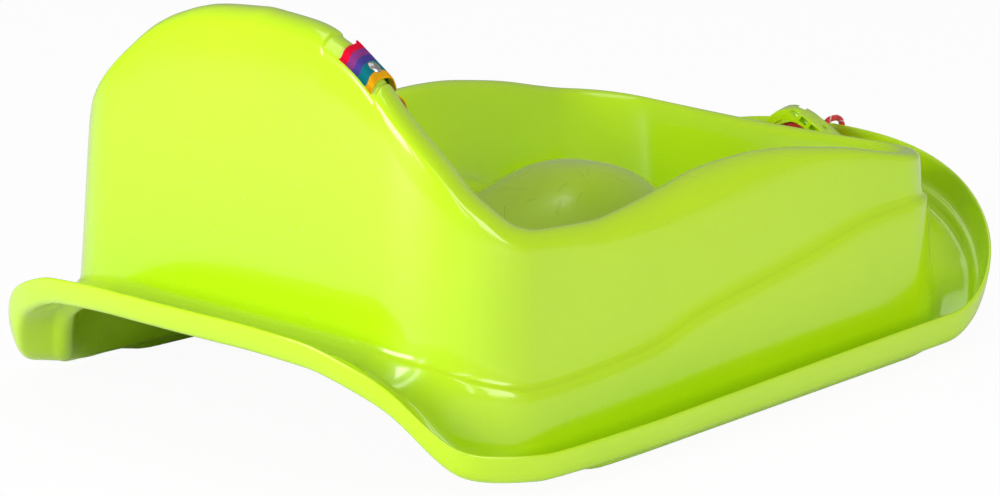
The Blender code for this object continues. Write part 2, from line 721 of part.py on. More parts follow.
def rivet_set(place_name, frame, sheet, strap, shell, metal):
    """Rivet, washer and the holes they need; sheet is the shell's thickness there."""
    stack = WEBBING_THICKNESS + sheet
    rivet(place_name + "_rivet", frame, stack, metal)
    down = frame @ Matrix.Translation((0, 0, -stack - GAP - WASHER_THICKNESS))
    bore = RIVET_SHANK / 2 + GAP
    washer = ring(WASHER_DIAMETER / 2, bore, WASHER_THICKNESS, down)
    add_object(place_name + "_washer", washer, metal, 35)
    turn = frame @ Matrix.Rotation(math.radians(5), 4, "Z")
    for target in (strap, shell):
        hole = turned([(0, 4 * mm), (bore, 4 * mm), (bore, -stack - 4 * mm), (0, -stack - 4 * mm)], turn)
        cut(target, hole, place_name + "_hole_" + target.name)


def build_adjuster(look):
    """Slide adjuster: end bars over the webbing, the middle bar under it."""
    along = STRAIGHT_END - STRAIGHT_TOP
    twist = STRAIGHT_WIDTH - along * (STRAIGHT_WIDTH.dot(along) / along.length_squared)
    up = along.cross(twist)
    if up.y > 0:
        up = -up
    frame = local_frame((STRAIGHT_TOP + STRAIGHT_END) / 2, along, up)
    half = ADJUSTER_LENGTH / 2
    inside = WEBBING_WIDTH / 2 + SLIDE_FIT
    slot = WEBBING_THICKNESS / 2 + SLIDE_FIT
    height = slot + ADJUSTER_BAR[1]
    side = inside + ADJUSTER_RAIL
    bar = ADJUSTER_BAR[0]
    body = box((-half, -side, -height), (half, side, height), frame, 1 * mm)
    adjuster = add_object("belt_adjuster", body, look, 35)
    out = half + 5 * mm
    tall = height + 5 * mm
    way = [(bar - half, tall), (bar - half, slot), (-out, slot), (-out, -tall), (-bar / 2, -tall),
           (-bar / 2, -slot), (bar / 2, -slot), (bar / 2, -tall), (out, -tall), (out, slot),
           (half - bar, slot), (half - bar, tall)]
    cut(adjuster, extruded(way, inside, frame), "adjuster_way")
    return frame


def webbing_slot(end, inward, frame):
    """The room round a buckle's bar at its end; inward is the way from the end into the buckle."""
    bar, thick = BUCKLE_BAR
    inside = WEBBING_WIDTH / 2 + 2 * SLIDE_FIT
    depth = bar / 2 + thick / 2 + 2 * WEBBING_THICKNESS + 3 * SLIDE_FIT
    tall = BUCKLE_HEIGHT / 2 + 5 * mm
    outline = [(depth, -tall), (depth, tall), (-tall, tall), (-tall, thick / 2), (bar, thick / 2),
               (bar, -thick / 2), (-tall, -thick / 2), (-tall, -tall)]
    return extruded([(end + inward * x, z) for x, z in outline], inside, frame)


def build_socket(look):
    frame = buckle_frame()
    side = BUCKLE_WIDTH / 2
    height = BUCKLE_HEIGHT / 2
    body = box((0, -side, -height), (SOCKET_LENGTH, side, height), frame, 1.4 * mm)
    socket = add_object("buckle_socket", body, look, 35)
    over = 5 * mm
    cut(socket, webbing_slot(0, 1, frame), "socket_slot")
    mouth = side - 3.2 * BUCKLE_WALL
    hollow = SOCKET_LENGTH - PRONG_LENGTH - 2 * mm
    cut(socket, box((hollow, -mouth, -height + BUCKLE_WALL), (SOCKET_LENGTH + over, mouth, height - BUCKLE_WALL),
                    frame), "socket_hollow")
    for sign in (-1, 1):
        low, high = sorted((sign * (mouth - 1 * mm), sign * (side + over)))
        cut(socket, box((hollow + 3 * mm, low, -height + BUCKLE_WALL + 0.6 * mm),
                        (hollow + 13 * mm, high, height - BUCKLE_WALL - 0.6 * mm), frame), "socket_window")
    return mouth


def build_tongue(look, mouth):
    frame = buckle_frame()
    height = BUCKLE_HEIGHT / 2
    side = BUCKLE_WIDTH / 2 - 1 * mm
    bar = BUCKLE_BAR[0]
    front = SOCKET_LENGTH + SLIDE_FIT
    end = front + TONGUE_LENGTH
    prong = height - BUCKLE_WALL - SLIDE_FIT
    body = box((front, -side, -height), (end, side, height), frame, 1.2 * mm)
    tongue = add_object("buckle_tongue", body, look, 35)
    reach = mouth - SLIDE_FIT
    tip = SOCKET_LENGTH - PRONG_LENGTH
    prongs = ((-reach, PRONG_WIDTH - reach), (-3 * mm, 3 * mm), (reach - PRONG_WIDTH, reach))
    for k, (low, high) in enumerate(prongs):
        blade = box((tip, low, -prong), (front + 3 * mm, high, prong), frame, 0.8 * mm)
        cut(tongue, blade, f"tongue_prong_{k}", "UNION")
    cut(tongue, webbing_slot(end, -1, frame), "tongue_slot")
    return end - bar / 2


def seat_wall(p):
    """Top and foot of the flat stretch of the left seat wall at p."""
    rows = shell_rows(p, 1)
    return Vector(rows[24]), Vector(rows[25])


def anchor_wall():
    """Middle of the left seat wall at the belt's anchor, and its normal into the seat."""
    stations = [2.05 + 0.6 * k / 119 for k in range(120)]
    p = min(stations, key=lambda q: abs(sum(seat_wall(q), Vector()).y / 2 - ANCHOR_Y))
    high, low = seat_wall(p)
    before, after = seat_wall(p - 0.06), seat_wall(p + 0.06)
    normal = (sum(after, Vector()) - sum(before, Vector())).cross(high - low).normalized()
    if normal.x > 0:
        normal = -normal
    return (high + low) / 2, normal


def build_lower_strap(look, bar_u):
    """From the tongue's bar across the seat, folded up the left wall to its anchor."""
    frame = buckle_frame()
    across = frame.to_3x3() @ Vector((0, -1, 0))
    loop = loop_round_bar(bar_u, 1)
    start = loop[0]
    wall, inward = anchor_wall()
    rise = Vector((inward.z, 0, -inward.x)).normalized()
    on_sheet = wall + inward * (WEBBING_THICKNESS / 2 + 4 * GAP)
    foot = on_sheet - rise * ((on_sheet.z - SEAT_HEIGHT - 22 * mm) / rise.z)
    fold = [Vector((start.x, 0, start.z)), Vector((start.x + 8 * mm, 0, start.z - 1 * mm)),
            Vector((foot.x - 36 * mm, 0, SEAT_HEIGHT + 7 * mm)),
            Vector((foot.x - 24 * mm, 0, SEAT_HEIGHT + 8.5 * mm)),
            Vector((foot.x - 11 * mm, 0, SEAT_HEIGHT + 14 * mm)),
            Vector((foot.x, 0, foot.z)), Vector((foot.x, 0, foot.z)) + Vector((rise.x, 0, rise.z)) * 60 * mm]
    lengths = [0.0]
    for a, b in zip(fold, fold[1:]):
        lengths.append(lengths[-1] + (b - a).length)

    def folded(flat_x, y):
        s = flat_x - start.x
        k = max(i for i in range(len(fold) - 1) if lengths[i] <= max(s, 0.0))
        point = fold[k].lerp(fold[k + 1], (s - lengths[k]) / (lengths[k + 1] - lengths[k]))
        on_wall = ease((s - lengths[3]) / (lengths[5] - lengths[3]))
        return Vector((point.x - inward.y / inward.x * (y - wall.y) * on_wall, y, point.z))

    along = BUCKLE_DIRECTION.normalized()
    total = (lengths[5] + 23 * mm) / along.x
    lower, upper = ribbon_rows([(point, across) for point in reversed(loop)])
    if (upper[-1][1] - lower[-1][1]).z < 0:
        lower, upper = upper, lower
    rows = 12
    for i in range(1, rows + 1):
        sheet = []
        for share in (-1, 0, 1):
            flat = start + along * total * i / rows + across * WEBBING_WIDTH / 2 * share
            point = folded(flat.x, flat.y)
            ahead = folded(flat.x + 1 * mm, flat.y) - folded(flat.x - 1 * mm, flat.y)
            normal = Vector((-ahead.z, 0, ahead.x)).normalized() * WEBBING_THICKNESS / 2
            sheet.append((point, normal))
        lower.append([point - normal for point, normal in sheet])
        upper.append([point + normal for point, normal in sheet])
    strap = add_object("belt_lower_strap", slab(lower, upper), look, 40)
    middle = (upper[-3][1] + upper[-2][1]) / 2
    return strap, local_frame(middle, rise, inward)


def tube(name, points, look, resolution):
    """A cord's tube along its points, with filled ends."""
    curve = bpy.data.curves.new(name, "CURVE")
    curve.dimensions = "3D"
    curve.bevel_depth = ROPE / 2
    curve.bevel_resolution = resolution
    curve.use_fill_caps = True
    spline = curve.splines.new("POLY")
    spline.points.add(len(points) - 1)
    for place_here, point in zip(spline.points, points):
        place_here.co = (*point, 1.0)
    curve.materials.append(look)
    made = bpy.data.objects.new(name, curve)
    bpy.context.collection.objects.link(made)
    return made


def smooth_route(points, spacing):
    """Points along a smooth curve through the route's own points."""
    route = [Vector(p) for p in points]
    ends = [2 * route[0] - route[1]] + route + [2 * route[-1] - route[-2]]
    dense = []
    for a, b, c, d in zip(ends, ends[1:], ends[2:], ends[3:]):
        for k in range(12):
            t = k / 12
            dense.append(0.5 * (2 * b + (c - a) * t + (2 * a - 5 * b + 4 * c - d) * t * t
                                + (3 * b - a - 3 * c + d) * t ** 3))
    dense.append(route[-1])
    steps = [0.0]
    for a, b in zip(dense, dense[1:]):
        steps.append(steps[-1] + (b - a).length)
    count = max(2, round(steps[-1] / spacing))
    chosen = []
    k = 0
    for i in range(count + 1):
        target = steps[-1] * i / count
        while k < len(steps) - 2 and steps[k + 1] < target:
            k += 1
        chosen.append(dense[k].lerp(dense[k + 1], (target - steps[k]) / max(steps[k + 1] - steps[k], 1e-9)))
    return chosen


def square_ended(route):
    """Smooth points for a tube whose first and last runs stay straight."""
    return [route[0]] + smooth_route(route[1:-1], 1.1 * ROPE) + [route[-1]]


def oval(turn, inset):
    """Point on an oval with round ends; turn counts loops, inset narrows it evenly."""
    radius = COIL_WIDTH / 2 - ROPE / 2 - inset
    straight = (COIL_LENGTH - COIL_WIDTH) / 2
    t = (turn % 1.0) * 24
    if t < 9:
        a = math.pi * t / 9 - math.pi / 2
        return straight + radius * math.cos(a), radius * math.sin(a)
    if t < 12:
        return straight - (t - 9) / 3 * 2 * straight, radius
    if t < 21:
        a = math.pi * (t - 12) / 9 + math.pi / 2
        return -straight + radius * math.cos(a), radius * math.sin(a)
    return -straight + (t - 21) / 3 * 2 * straight, -radius


def coil_points():
    """The piled coil: each layer winds in or out, and climbs where the winding turns back."""
    pitch = ROPE + COIL_GAP
    turns = COIL_LAYERS * COIL_TURNS_PER_LAYER
    base = BOW_TIP.z + ROPE / 2 + 2 * GAP
    points = []
    for k in range(24 * turns + 1):
        turn = k / 24
        phase = turn / COIL_TURNS_PER_LAYER
        layer = math.floor(phase)
        inset = abs(phase - 2 * round(phase / 2)) * COIL_TURNS_PER_LAYER * pitch
        nearest = round(phase)
        height = layer
        if 0 < nearest < COIL_LAYERS:
            away = (phase - nearest) * COIL_TURNS_PER_LAYER
            if abs(away) < 0.25:
                height = nearest - 1 + ease(away / 0.5 + 0.5)
        height = min(height, COIL_LAYERS - 1)
        x, y = oval(turn, inset)
        points.append(Vector((COIL_PLACE[0] + x, COIL_PLACE[1] + y, base + height * pitch)))
    run = Vector((ROPE, 0, 0))
    return [points[0] - run] + points + [points[-1] + run]


def least_gap(points, skip):
    """Least gap between a tube's own turns, measured between points skip or more apart."""
    closest = 1.0
    for i in range(len(points)):
        for j in range(i + skip, len(points) - 1):
            a, b = points[j], points[j + 1]
            span = b - a
            u = min(max((points[i] - a).dot(span) / span.length_squared, 0.0), 1.0)
            closest = min(closest, (points[i] - a - span * u).length)
    return closest - ROPE


# The rope's route, chosen by hand, in mm from the deck at the bow's tip: over the bow's edge, to
# the coil and to the handle; the stretch under the grip is in mm in the handle's own frame
LIP_LOOP_ROUTE = [(0, 9.3, 19.5), (0, 6.6, 19.5), (0, 2, 19.5), (0, -2, 19.6), (0.4, -5, 21.4),
                  (0.6, -6.4, 27), (0.4, -5, 32.4), (0.2, -1, 35.6), (-0.2, 4, 36.6), (-0.6, 9.6, 36.6),
                  (-1, 14, 36.2), (-1, 15.8, 34.4), (-1, 15.8, 31.9)]
KNOT_PLACE = (-1, 15.8, 24)
TO_COIL_ROUTE = [(-1, 15.8, 16.1), (-1, 15.9, 14.4), (-0.2, 16.6, 12.2), (2.4, 18.4, 9.6), (6, 20.4, 7),
                 (10.6, 22.6, 4.5), (15.4, 24.4, 3.1)]
TO_HANDLE_ROUTE = [(41.5, 26.7, 18.8), (46.5, 32, 20), (48.3, 39, 21.8), (45.5, 46.5, 24), (39.5, 53, 26.5),
                   (31, 57.5, 29), (22.5, 61, 32)]
UNDER_GRIP_ROUTE = [(-31, 0, -30), (-26.5, 0, -23), (-22, 0, -16.6), (-16, 0, -13.4), (-10, 0, -13.9),
                    (-4.8, 0, -16.4), (-1.2, 0, -15.4)]


def from_tip(route):
    """A route's points in space, given in mm from the deck at the bow's tip."""
    return [BOW_TIP + Vector(point) * mm for point in route]


def build_knot(look):
    """The knot inside the bow, as a barrel with the swell of its three turns."""
    frame = local_frame(from_tip([KNOT_PLACE])[0], (1, 0, 0), (0, 0, 1))
    profile = [(0, -KNOT_LENGTH / 2)]
    turns = 3
    for k in range(turns * 4 + 1):
        swell = abs(math.sin(math.pi * k / 4))
        end = 0.72 if k in (0, turns * 4) else 1.0
        radius = KNOT_DIAMETER / 2 * (0.8 + 0.2 * swell) * end
        profile.append((radius, KNOT_LENGTH * (k / (turns * 4) - 0.5)))
    profile.append((0, KNOT_LENGTH / 2))
    add_object("rope_knot", turned(profile, frame, 14), look, 60)


def handle_frame():
    """Frame at the middle of the handle's top line, with X from its left end to its right."""
    left, right = from_tip([(3, 57.5, 61.8), (-54, 37.5, 18.8)])
    return local_frame((left + right) / 2, right - left, (0, 0, 1))


def build_handle(look):
    """Bowed grip with curled ends, ribbed sides and the rope's hole through its middle."""
    frame = handle_frame()
    outer, inner = [], []
    steps = 16
    for k in range(steps + 1):
        a = math.pi * k / steps
        c, d = math.cos(a), math.sin(a)
        x = math.copysign(abs(c) ** 0.62, c)
        outer.append((x * HANDLE_LENGTH / 2, HANDLE_HEIGHT * (d ** 0.8 - 1)))
        inner.append((x * (HANDLE_LENGTH / 2 - HANDLE_CLAW),
                      (HANDLE_HEIGHT - HANDLE_BAR) * d ** 0.9 - HANDLE_HEIGHT))
    grip = extruded(outer + inner[::-1], HANDLE_DEPTH / 2, frame)
    long_edges = [edge for edge in grip.edges if edge.calc_face_angle(0.0) > math.radians(60)]
    bmesh.ops.bevel(grip, geom=long_edges, offset=2 * mm, segments=2, profile=0.5, affect="EDGES")
    handle = add_object("pull_handle", grip, look, 35)
    wide, tall, deep = HANDLE_POCKET
    pitch = (HANDLE_LENGTH - 3 * HANDLE_CLAW) / HANDLE_POCKETS
    for k in range(HANDLE_POCKETS):
        x = pitch * (k - (HANDLE_POCKETS - 1) / 2)
        for side in (-1, 1):
            low, high = sorted((side * (HANDLE_DEPTH / 2 - deep), side * HANDLE_DEPTH))
            cut(handle, box((x - wide / 2, low, -HANDLE_BAR / 2 - tall / 2),
                            (x + wide / 2, high, -HANDLE_BAR / 2 + tall / 2), frame), f"pocket_{k}_{side}")
    bore = ROPE / 2 + GAP
    hole = turned([(0, 5 * mm), (bore, 5 * mm), (bore, -HANDLE_HEIGHT), (0, -HANDLE_HEIGHT)], frame, 12)
    cut(handle, hole, "handle_hole")
    return frame


def build_ropes(look, coil, handle):
    """The rope's free stretches: round the bow's edge, down to the coil and up to the handle."""
    loop = from_tip(LIP_LOOP_ROUTE)
    tube("rope_lip_loop", square_ended(loop), look, 2)
    lead = from_tip(TO_COIL_ROUTE)
    run = Vector((ROPE, 0, 0))
    first = coil[0] - Vector((GAP, 0, 0))
    tube("rope_to_coil", square_ended(lead + [first - run, first]), look, 2)
    last = coil[-1] + Vector((GAP, 0, 0))
    rise = from_tip(TO_HANDLE_ROUTE) + [handle @ (Vector(point) * mm) for point in UNDER_GRIP_ROUTE]
    entry = handle @ Vector((0, 0, -HANDLE_BAR - 1.2 * ROPE))
    inside = handle @ Vector((0, 0, -HANDLE_BAR / 2))
    tube("rope_to_handle", square_ended([last, last + run] + rise + [entry, inside]), look, 2)


def main():
    for old in list(bpy.data.objects):
        bpy.data.objects.remove(old)
    lime = material("lime_plastic", LIME, 0.25)
    webbing = material("striped_webbing", (0.75, 0.05, 0.12, 1.0), 0.8)
    black = material("black_plastic", (0.02, 0.02, 0.022, 1.0), 0.35)
    steel = material("bright_steel", (0.75, 0.75, 0.77, 1.0), 0.2, 1.0)
    red_rope = material("red_rope", (0.72, 0.04, 0.05, 1.0), 0.85)
    shell = add_object("sled_shell", build_shell_mesh(), lime, 35)
    strap, low, high = build_upper_strap(webbing)
    columns = [rear_p(BELT_CENTRE_X + share * BELT_HALF_SPAN) for share in (0, 1)]
    slope = (rim_height(columns[0]) - rim_height(columns[1])) / BELT_HALF_SPAN
    rivet_set("upper", rim_rivet_frame(low, high), GAP + WALL / math.hypot(1, slope) + GAP, strap, shell, steel)
    build_adjuster(black)
    mouth = build_socket(black)
    bar_u = build_tongue(black, mouth)
    lower_strap, anchor = build_lower_strap(webbing, bar_u)
    rivet_set("lower", anchor, 4 * GAP + WALL + 2 * GAP, lower_strap, shell, steel)
    coil = coil_points()
    tube("rope_coil", coil, red_rope, 1)
    build_knot(red_rope)
    handle = build_handle(lime)
    build_ropes(red_rope, coil, handle)
    bow_hole = RUNNER_DEPTH + SIDE_LIP_HEIGHT + BOW_RISE - ROPE_HOLE_DROP
    through = local_frame((0, -LENGTH / 2, bow_hole), (1, 0, 0.16), (0, 1, 0))
    bore = ROPE_HOLE / 2
    cut(shell, turned([(0, -9 * mm), (bore, -9 * mm), (bore, 9 * mm), (0, 9 * mm)], through), "bow_hole")
    print("least gap between the coil's turns, mm:", round(least_gap(coil, 12) / mm, 2))


main()
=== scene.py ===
# %% [markdown]
# A child's plastic sled. One lime shell is moulded in a single shot, a striped shoulder belt with
# a side-release buckle crosses its seat, and a red pull rope with a lime handle lies behind the bow.
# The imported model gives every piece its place. This script gives each piece its full shape and finish.

import json
import math

import bmesh
import bpy
import numpy as np
from mathutils import Matrix, Vector

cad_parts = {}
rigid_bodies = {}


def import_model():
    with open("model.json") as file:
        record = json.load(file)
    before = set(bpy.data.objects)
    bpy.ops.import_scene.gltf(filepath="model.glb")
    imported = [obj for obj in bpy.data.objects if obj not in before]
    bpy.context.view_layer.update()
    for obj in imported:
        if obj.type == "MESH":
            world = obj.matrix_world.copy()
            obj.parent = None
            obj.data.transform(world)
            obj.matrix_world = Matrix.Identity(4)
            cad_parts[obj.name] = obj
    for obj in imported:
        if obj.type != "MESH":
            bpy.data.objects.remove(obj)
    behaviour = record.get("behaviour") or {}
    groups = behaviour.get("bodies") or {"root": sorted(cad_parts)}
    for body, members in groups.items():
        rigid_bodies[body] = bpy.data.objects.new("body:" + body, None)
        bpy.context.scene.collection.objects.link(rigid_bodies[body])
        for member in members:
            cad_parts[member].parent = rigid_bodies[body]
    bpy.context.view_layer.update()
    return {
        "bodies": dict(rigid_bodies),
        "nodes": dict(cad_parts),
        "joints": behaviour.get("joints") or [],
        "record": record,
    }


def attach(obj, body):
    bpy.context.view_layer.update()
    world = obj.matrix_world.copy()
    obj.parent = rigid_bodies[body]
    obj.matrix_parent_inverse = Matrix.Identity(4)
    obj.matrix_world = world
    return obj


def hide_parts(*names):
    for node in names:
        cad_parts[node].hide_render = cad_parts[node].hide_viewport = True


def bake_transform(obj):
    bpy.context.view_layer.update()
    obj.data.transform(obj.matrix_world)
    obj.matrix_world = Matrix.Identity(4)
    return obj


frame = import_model()
mm = 0.001
print("nodes loaded:", len(frame["nodes"]))

# %% [markdown]
# The camera looks down a little on the sled from behind its right-hand corner, through a long lens.
# It could be placed by eye, but here its angle, distance and lens are the ones at which the lip,
# the crease and the rim of the moulding fall where the photograph has them.

# %% Camera
VIEW_AZIMUTH = math.radians(223.11)
VIEW_ELEVATION = math.radians(13.96)
VIEW_DISTANCE = 3128 * mm
VIEW_TARGET = Vector((15.22, 11.63, 80.35)) * mm
SENSOR_WIDTH = 36
LENS_PER_SENSOR = 4.4016

level = math.cos(VIEW_ELEVATION)
view_line = Vector((-math.sin(VIEW_AZIMUTH) * level, math.cos(VIEW_AZIMUTH) * level,
                    -math.sin(VIEW_ELEVATION)))
lens = bpy.data.cameras.new("camera")
lens.sensor_width = SENSOR_WIDTH
lens.lens = SENSOR_WIDTH * LENS_PER_SENSOR
camera = bpy.data.objects.new("camera", lens)
camera.location = VIEW_TARGET - view_line * VIEW_DISTANCE
camera.rotation_euler = view_line.to_track_quat("-Z", "Y").to_euler()
bpy.context.collection.objects.link(camera)
bpy.context.scene.camera = camera
bpy.context.scene.view_settings.view_transform = "Standard"
print("camera at", [round(v, 3) for v in camera.location])

# %% [markdown]
# Finishes are built from nodes. Writing the node maths out link by link hides what it does, so a
# small wrapper lets Python's own operators add the Math nodes, and one method adds any other node.

# %% Shader maths
class Wire:
    """A socket of a finish's node tree that Python's operators can work on."""

    def __init__(self, finish, socket):
        self.finish = finish
        self.socket = socket

    def maths(self, operation, *values):
        return self.finish.node("ShaderNodeMath", {"operation": operation}, dict(enumerate(values)))

    def __add__(self, other):
        return self.maths("ADD", self, other)

    def __sub__(self, other):
        return self.maths("SUBTRACT", self, other)

    def __rsub__(self, other):
        return self.maths("SUBTRACT", other, self)

    def __mul__(self, other):
        return self.maths("MULTIPLY", self, other)

    __radd__ = __add__
    __rmul__ = __mul__

    def of(self, operation, *values):
        return self.maths(operation, self, *values)

    def between(self, low, high):
        """0 below low, 1 above high, smooth between them."""
        return self.finish.node("ShaderNodeMapRange", {"interpolation_type": "SMOOTHSTEP"},
                                {0: self, 1: low, 2: high, 3: 0.0, 4: 1.0})


class Finish:
    """A Principled material and the one way that this script adds nodes to it."""

    def __init__(self, name, colour, roughness, **constants):
        self.material = bpy.data.materials.new(name)
        self.material.use_nodes = True
        self.tree = self.material.node_tree
        self.surface = self.tree.nodes["Principled BSDF"]
        self.surface.inputs["Base Color"].default_value = (*colour, 1)
        self.surface.inputs["Roughness"].default_value = roughness
        for socket, value in constants.items():
            self.surface.inputs[socket.replace("_", " ")].default_value = value

    def node(self, kind, settings=None, values=None, output=0):
        made = self.tree.nodes.new(kind)
        for key, value in (settings or {}).items():
            if key == "stops":
                while len(made.color_ramp.elements) < len(value):
                    made.color_ramp.elements.new(1.0)
                for element, (place, colour) in zip(made.color_ramp.elements, value):
                    element.position = place
                    element.color = (*colour, 1)
            elif key == "ramp":
                made.color_ramp.interpolation = value
            else:
                setattr(made, key, value)
        for key, value in (values or {}).items():
            self.feed(made.inputs[key], value)
        return Wire(self, made.outputs[output])

    def feed(self, socket, value):
        if isinstance(value, Wire):
            self.tree.links.new(value.socket, socket)
        else:
            socket.default_value = value

    def place(self):
        return self.node("ShaderNodeTexCoord", output="Object")

    def noise(self, where, scale, detail=2.0, output=0):
        return self.node("ShaderNodeTexNoise", None,
                         {"Vector": where, "Scale": scale, "Detail": detail}, output)

    def part(self, vector, axis):
        return self.node("ShaderNodeSeparateXYZ", None, {0: vector}, axis)

    def mix(self, share, low, high):
        low = low if isinstance(low, Wire) else (*low, 1)
        high = high if isinstance(high, Wire) else (*high, 1)
        return self.node("ShaderNodeMix", {"data_type": "RGBA"}, {0: share, 6: low, 7: high}, 2)

    def stretch(self, where, x, y, z):
        return self.node("ShaderNodeVectorMath", {"operation": "MULTIPLY"}, {0: where, 1: (x, y, z)})

    def bump(self, height, depth, strength=1.0):
        lift = self.node("ShaderNodeBump", None,
                         {"Strength": strength, "Distance": depth, "Height": height})
        self.feed(self.surface.inputs["Normal"], lift)

    def set(self, socket, value):
        self.feed(self.surface.inputs[socket], value)


print("shader helper ready")

# %% [markdown]
# The shell is glossy polyethylene. A flat green looks like paint, so the colour drifts a little as
# pigment does in a big moulding, the gloss is broken by fine handling scuffs, and the skin has the
# faint orange peel that a mould leaves. The seat, the rim and the bow carry small cast grip strokes.
# A Voronoi pattern gives each cell one short stroke at its own angle, where the shell's mask asks.

# %% Lime plastic
LIME_COLOUR = (0.52, 0.79, 0.003)
LIME_DEEP = (0.475, 0.76, 0.002)
STROKE_HALF_WIDTH = (0.0004, 0.0011)
STROKE_HALF_LENGTH = (0.0085, 0.0105)
CELLS_WITH_STROKE = (0.45, 0.5)
STROKE_HEIGHT = 1.3


def lime_finish(name, with_strokes):
    lime = Finish(name, LIME_COLOUR, 0.26, IOR=1.47, Coat_Weight=0.6, Coat_Roughness=0.06)
    where = lime.place()
    drift = lime.noise(where, 5.0, 3.0).between(0.35, 0.68)
    scuffs = lime.noise(lime.stretch(where, 30, 240, 60), 4.0, 5.0).between(0.6, 0.74)
    lime.set("Base Color", lime.mix(drift * 0.8, LIME_COLOUR, LIME_DEEP))
    lime.set("Roughness", 0.21 + scuffs * 0.06 + lime.noise(where, 18.0) * 0.05)
    height = lime.noise(where, 420.0, 1.0) * 0.05 + lime.noise(where, 26.0, 1.0) * 0.22
    if with_strokes:
        cell = {"feature": "F1", "voronoi_dimensions": "3D"}
        values = {"Vector": where, "Scale": 38.0, "Randomness": 0.8}
        middle = lime.node("ShaderNodeTexVoronoi", cell, values, "Position")
        chance = lime.node("ShaderNodeTexVoronoi", cell, values, "Color")
        local = lime.node("ShaderNodeVectorMath", {"operation": "SUBTRACT"}, {0: where, 1: middle})
        across, along = lime.part(local, 0), lime.part(local, 1)
        angle = lime.part(chance, 0) * (2 * math.pi)
        from_line = (across * angle.of("COSINE") + along * angle.of("SINE")).of("ABSOLUTE")
        from_middle = (along * angle.of("COSINE") - across * angle.of("SINE")).of("ABSOLUTE")
        line = (1 - from_line.between(*STROKE_HALF_WIDTH)) * (1 - from_middle.between(*STROKE_HALF_LENGTH))
        mask = lime.node("ShaderNodeAttribute", {"attribute_name": "strokes"}, output="Fac")
        height = height - line * mask * lime.part(chance, 1).between(*CELLS_WITH_STROKE) * STROKE_HEIGHT
    lime.bump(height, 0.00025)
    return lime.material


shell_lime = lime_finish("lime_moulding", True)
handle_lime = lime_finish("lime_handle", False)
print("lime finishes:", shell_lime.name, handle_lime.name)

# %% [markdown]
# The belt is a printed rainbow webbing with a bright selvedge. Its pattern follows the strap, so it
# reads the strap's own UV map, in millimetres along and from 0 to 1 across. Ribs of weft cross the
# webbing and the warp threads run with it, as bump, and the stripes change colour at a warp thread.

# %% Striped webbing
STRIPES = [(0.0, (0.95, 0.0, 0.035)), (0.215, (0.30, 0.045, 0.27)), (0.42, (0.075, 0.055, 0.34)),
           (0.6, (0.0, 0.215, 0.25)), (0.845, (1.0, 0.47, 0.0))]
WEFT_PITCH = 1.3
WARP_THREADS = 26


def webbing_finish():
    webbing = Finish("striped_webbing", (0.5, 0.1, 0.1), 0.82, Specular_IOR_Level=0.08)
    along_across = webbing.node("ShaderNodeTexCoord", output="UV")
    along, across = webbing.part(along_across, 0), webbing.part(along_across, 1)
    weft = (along * (2 * math.pi / WEFT_PITCH)).of("SINE")
    warp = (across * (2 * math.pi * WARP_THREADS)).of("SINE")
    worn = webbing.noise(webbing.stretch(along_across, 0.08, 6.0, 1.0), 1.0, 3.0)
    edge = across + weft * 0.006
    stripes = webbing.node("ShaderNodeValToRGB", {"stops": STRIPES, "ramp": "CONSTANT"}, {0: edge})
    dark = webbing.mix((weft * 0.5 + 0.5) * 0.12 + worn * 0.1, stripes, (0.02, 0.015, 0.03))
    webbing.set("Base Color", dark)
    webbing.set("Roughness", 0.74 + worn * 0.16)
    webbing.bump(weft * 0.5 + warp * weft * 0.35, 0.0003)
    return webbing.material


webbing = webbing_finish()
print("webbing stripes:", len(STRIPES))

# %% [markdown]
# The rope is a braided cord, red with a white and a dark marker yarn. The braid is two families of
# strands that wind opposite ways round the rope, so it is written from the rope's UV map as the
# higher of two slanted waves. The marker yarns are single strands of one family.

# %% Braided rope
STRANDS_ROUND = 8
STRAND_PITCH = 9.5
WHITE_STRAND = 2.0
DARK_STRAND = 5.0


def rope_finish():
    rope = Finish("red_braid", (0.72, 0.02, 0.03), 0.8, Sheen_Weight=0.2, Sheen_Roughness=0.5)
    along_round = rope.node("ShaderNodeTexCoord", output="UV")
    along, round_it = rope.part(along_round, 0), rope.part(along_round, 1)
    rising = round_it * STRANDS_ROUND + along * (STRANDS_ROUND / STRAND_PITCH / 2)
    falling = round_it * STRANDS_ROUND - along * (STRANDS_ROUND / STRAND_PITCH / 2)
    over = ((rising + falling) * math.pi).of("SINE") * ((rising - falling) * math.pi).of("SINE")
    top = over.between(-0.25, 0.25)
    ridge_up = (rising * math.pi).of("SINE").of("ABSOLUTE")
    ridge_down = (falling * math.pi).of("SINE").of("ABSOLUTE")
    height = ridge_up * top + ridge_down * (1 - top)
    strand = rising.of("FLOOR").of("FLOORED_MODULO", STRANDS_ROUND)
    white = strand.of("COMPARE", WHITE_STRAND, 0.4) * top
    dark = strand.of("COMPARE", DARK_STRAND, 0.4) * top
    fuzz = rope.noise(rope.stretch(along_round, 1.5, 30.0, 1.0), 2.0, 3.0)
    # Painted shade: the red is darkest in the hollows between the strands and brightest on their crowns,
    # following the braid's height.
    body = rope.mix(height.between(0.0, 0.7), (0.26, 0.004, 0.01), (0.80, 0.025, 0.02))
    body = rope.mix(white * height.between(0.1, 0.5), body, (0.86, 0.80, 0.74))
    body = rope.mix(dark * height.between(0.1, 0.5), body, (0.03, 0.02, 0.05))
    rope.set("Base Color", rope.mix(fuzz.between(0.55, 0.8) * 0.25, body, (0.9, 0.35, 0.3)))
    rope.set("Roughness", 0.72 + fuzz * 0.2)
    rope.bump(height + fuzz * 0.15, 0.0005)
    return rope.material


red_braid = rope_finish()
print("rope finish:", red_braid.name)

# %% [markdown]
# The buckle and the strap adjuster are black acetal, which has a fine spark-eroded grain and edges
# that polish with use. The rivets are plated steel caps: turned, a little dulled, with tiny dents.

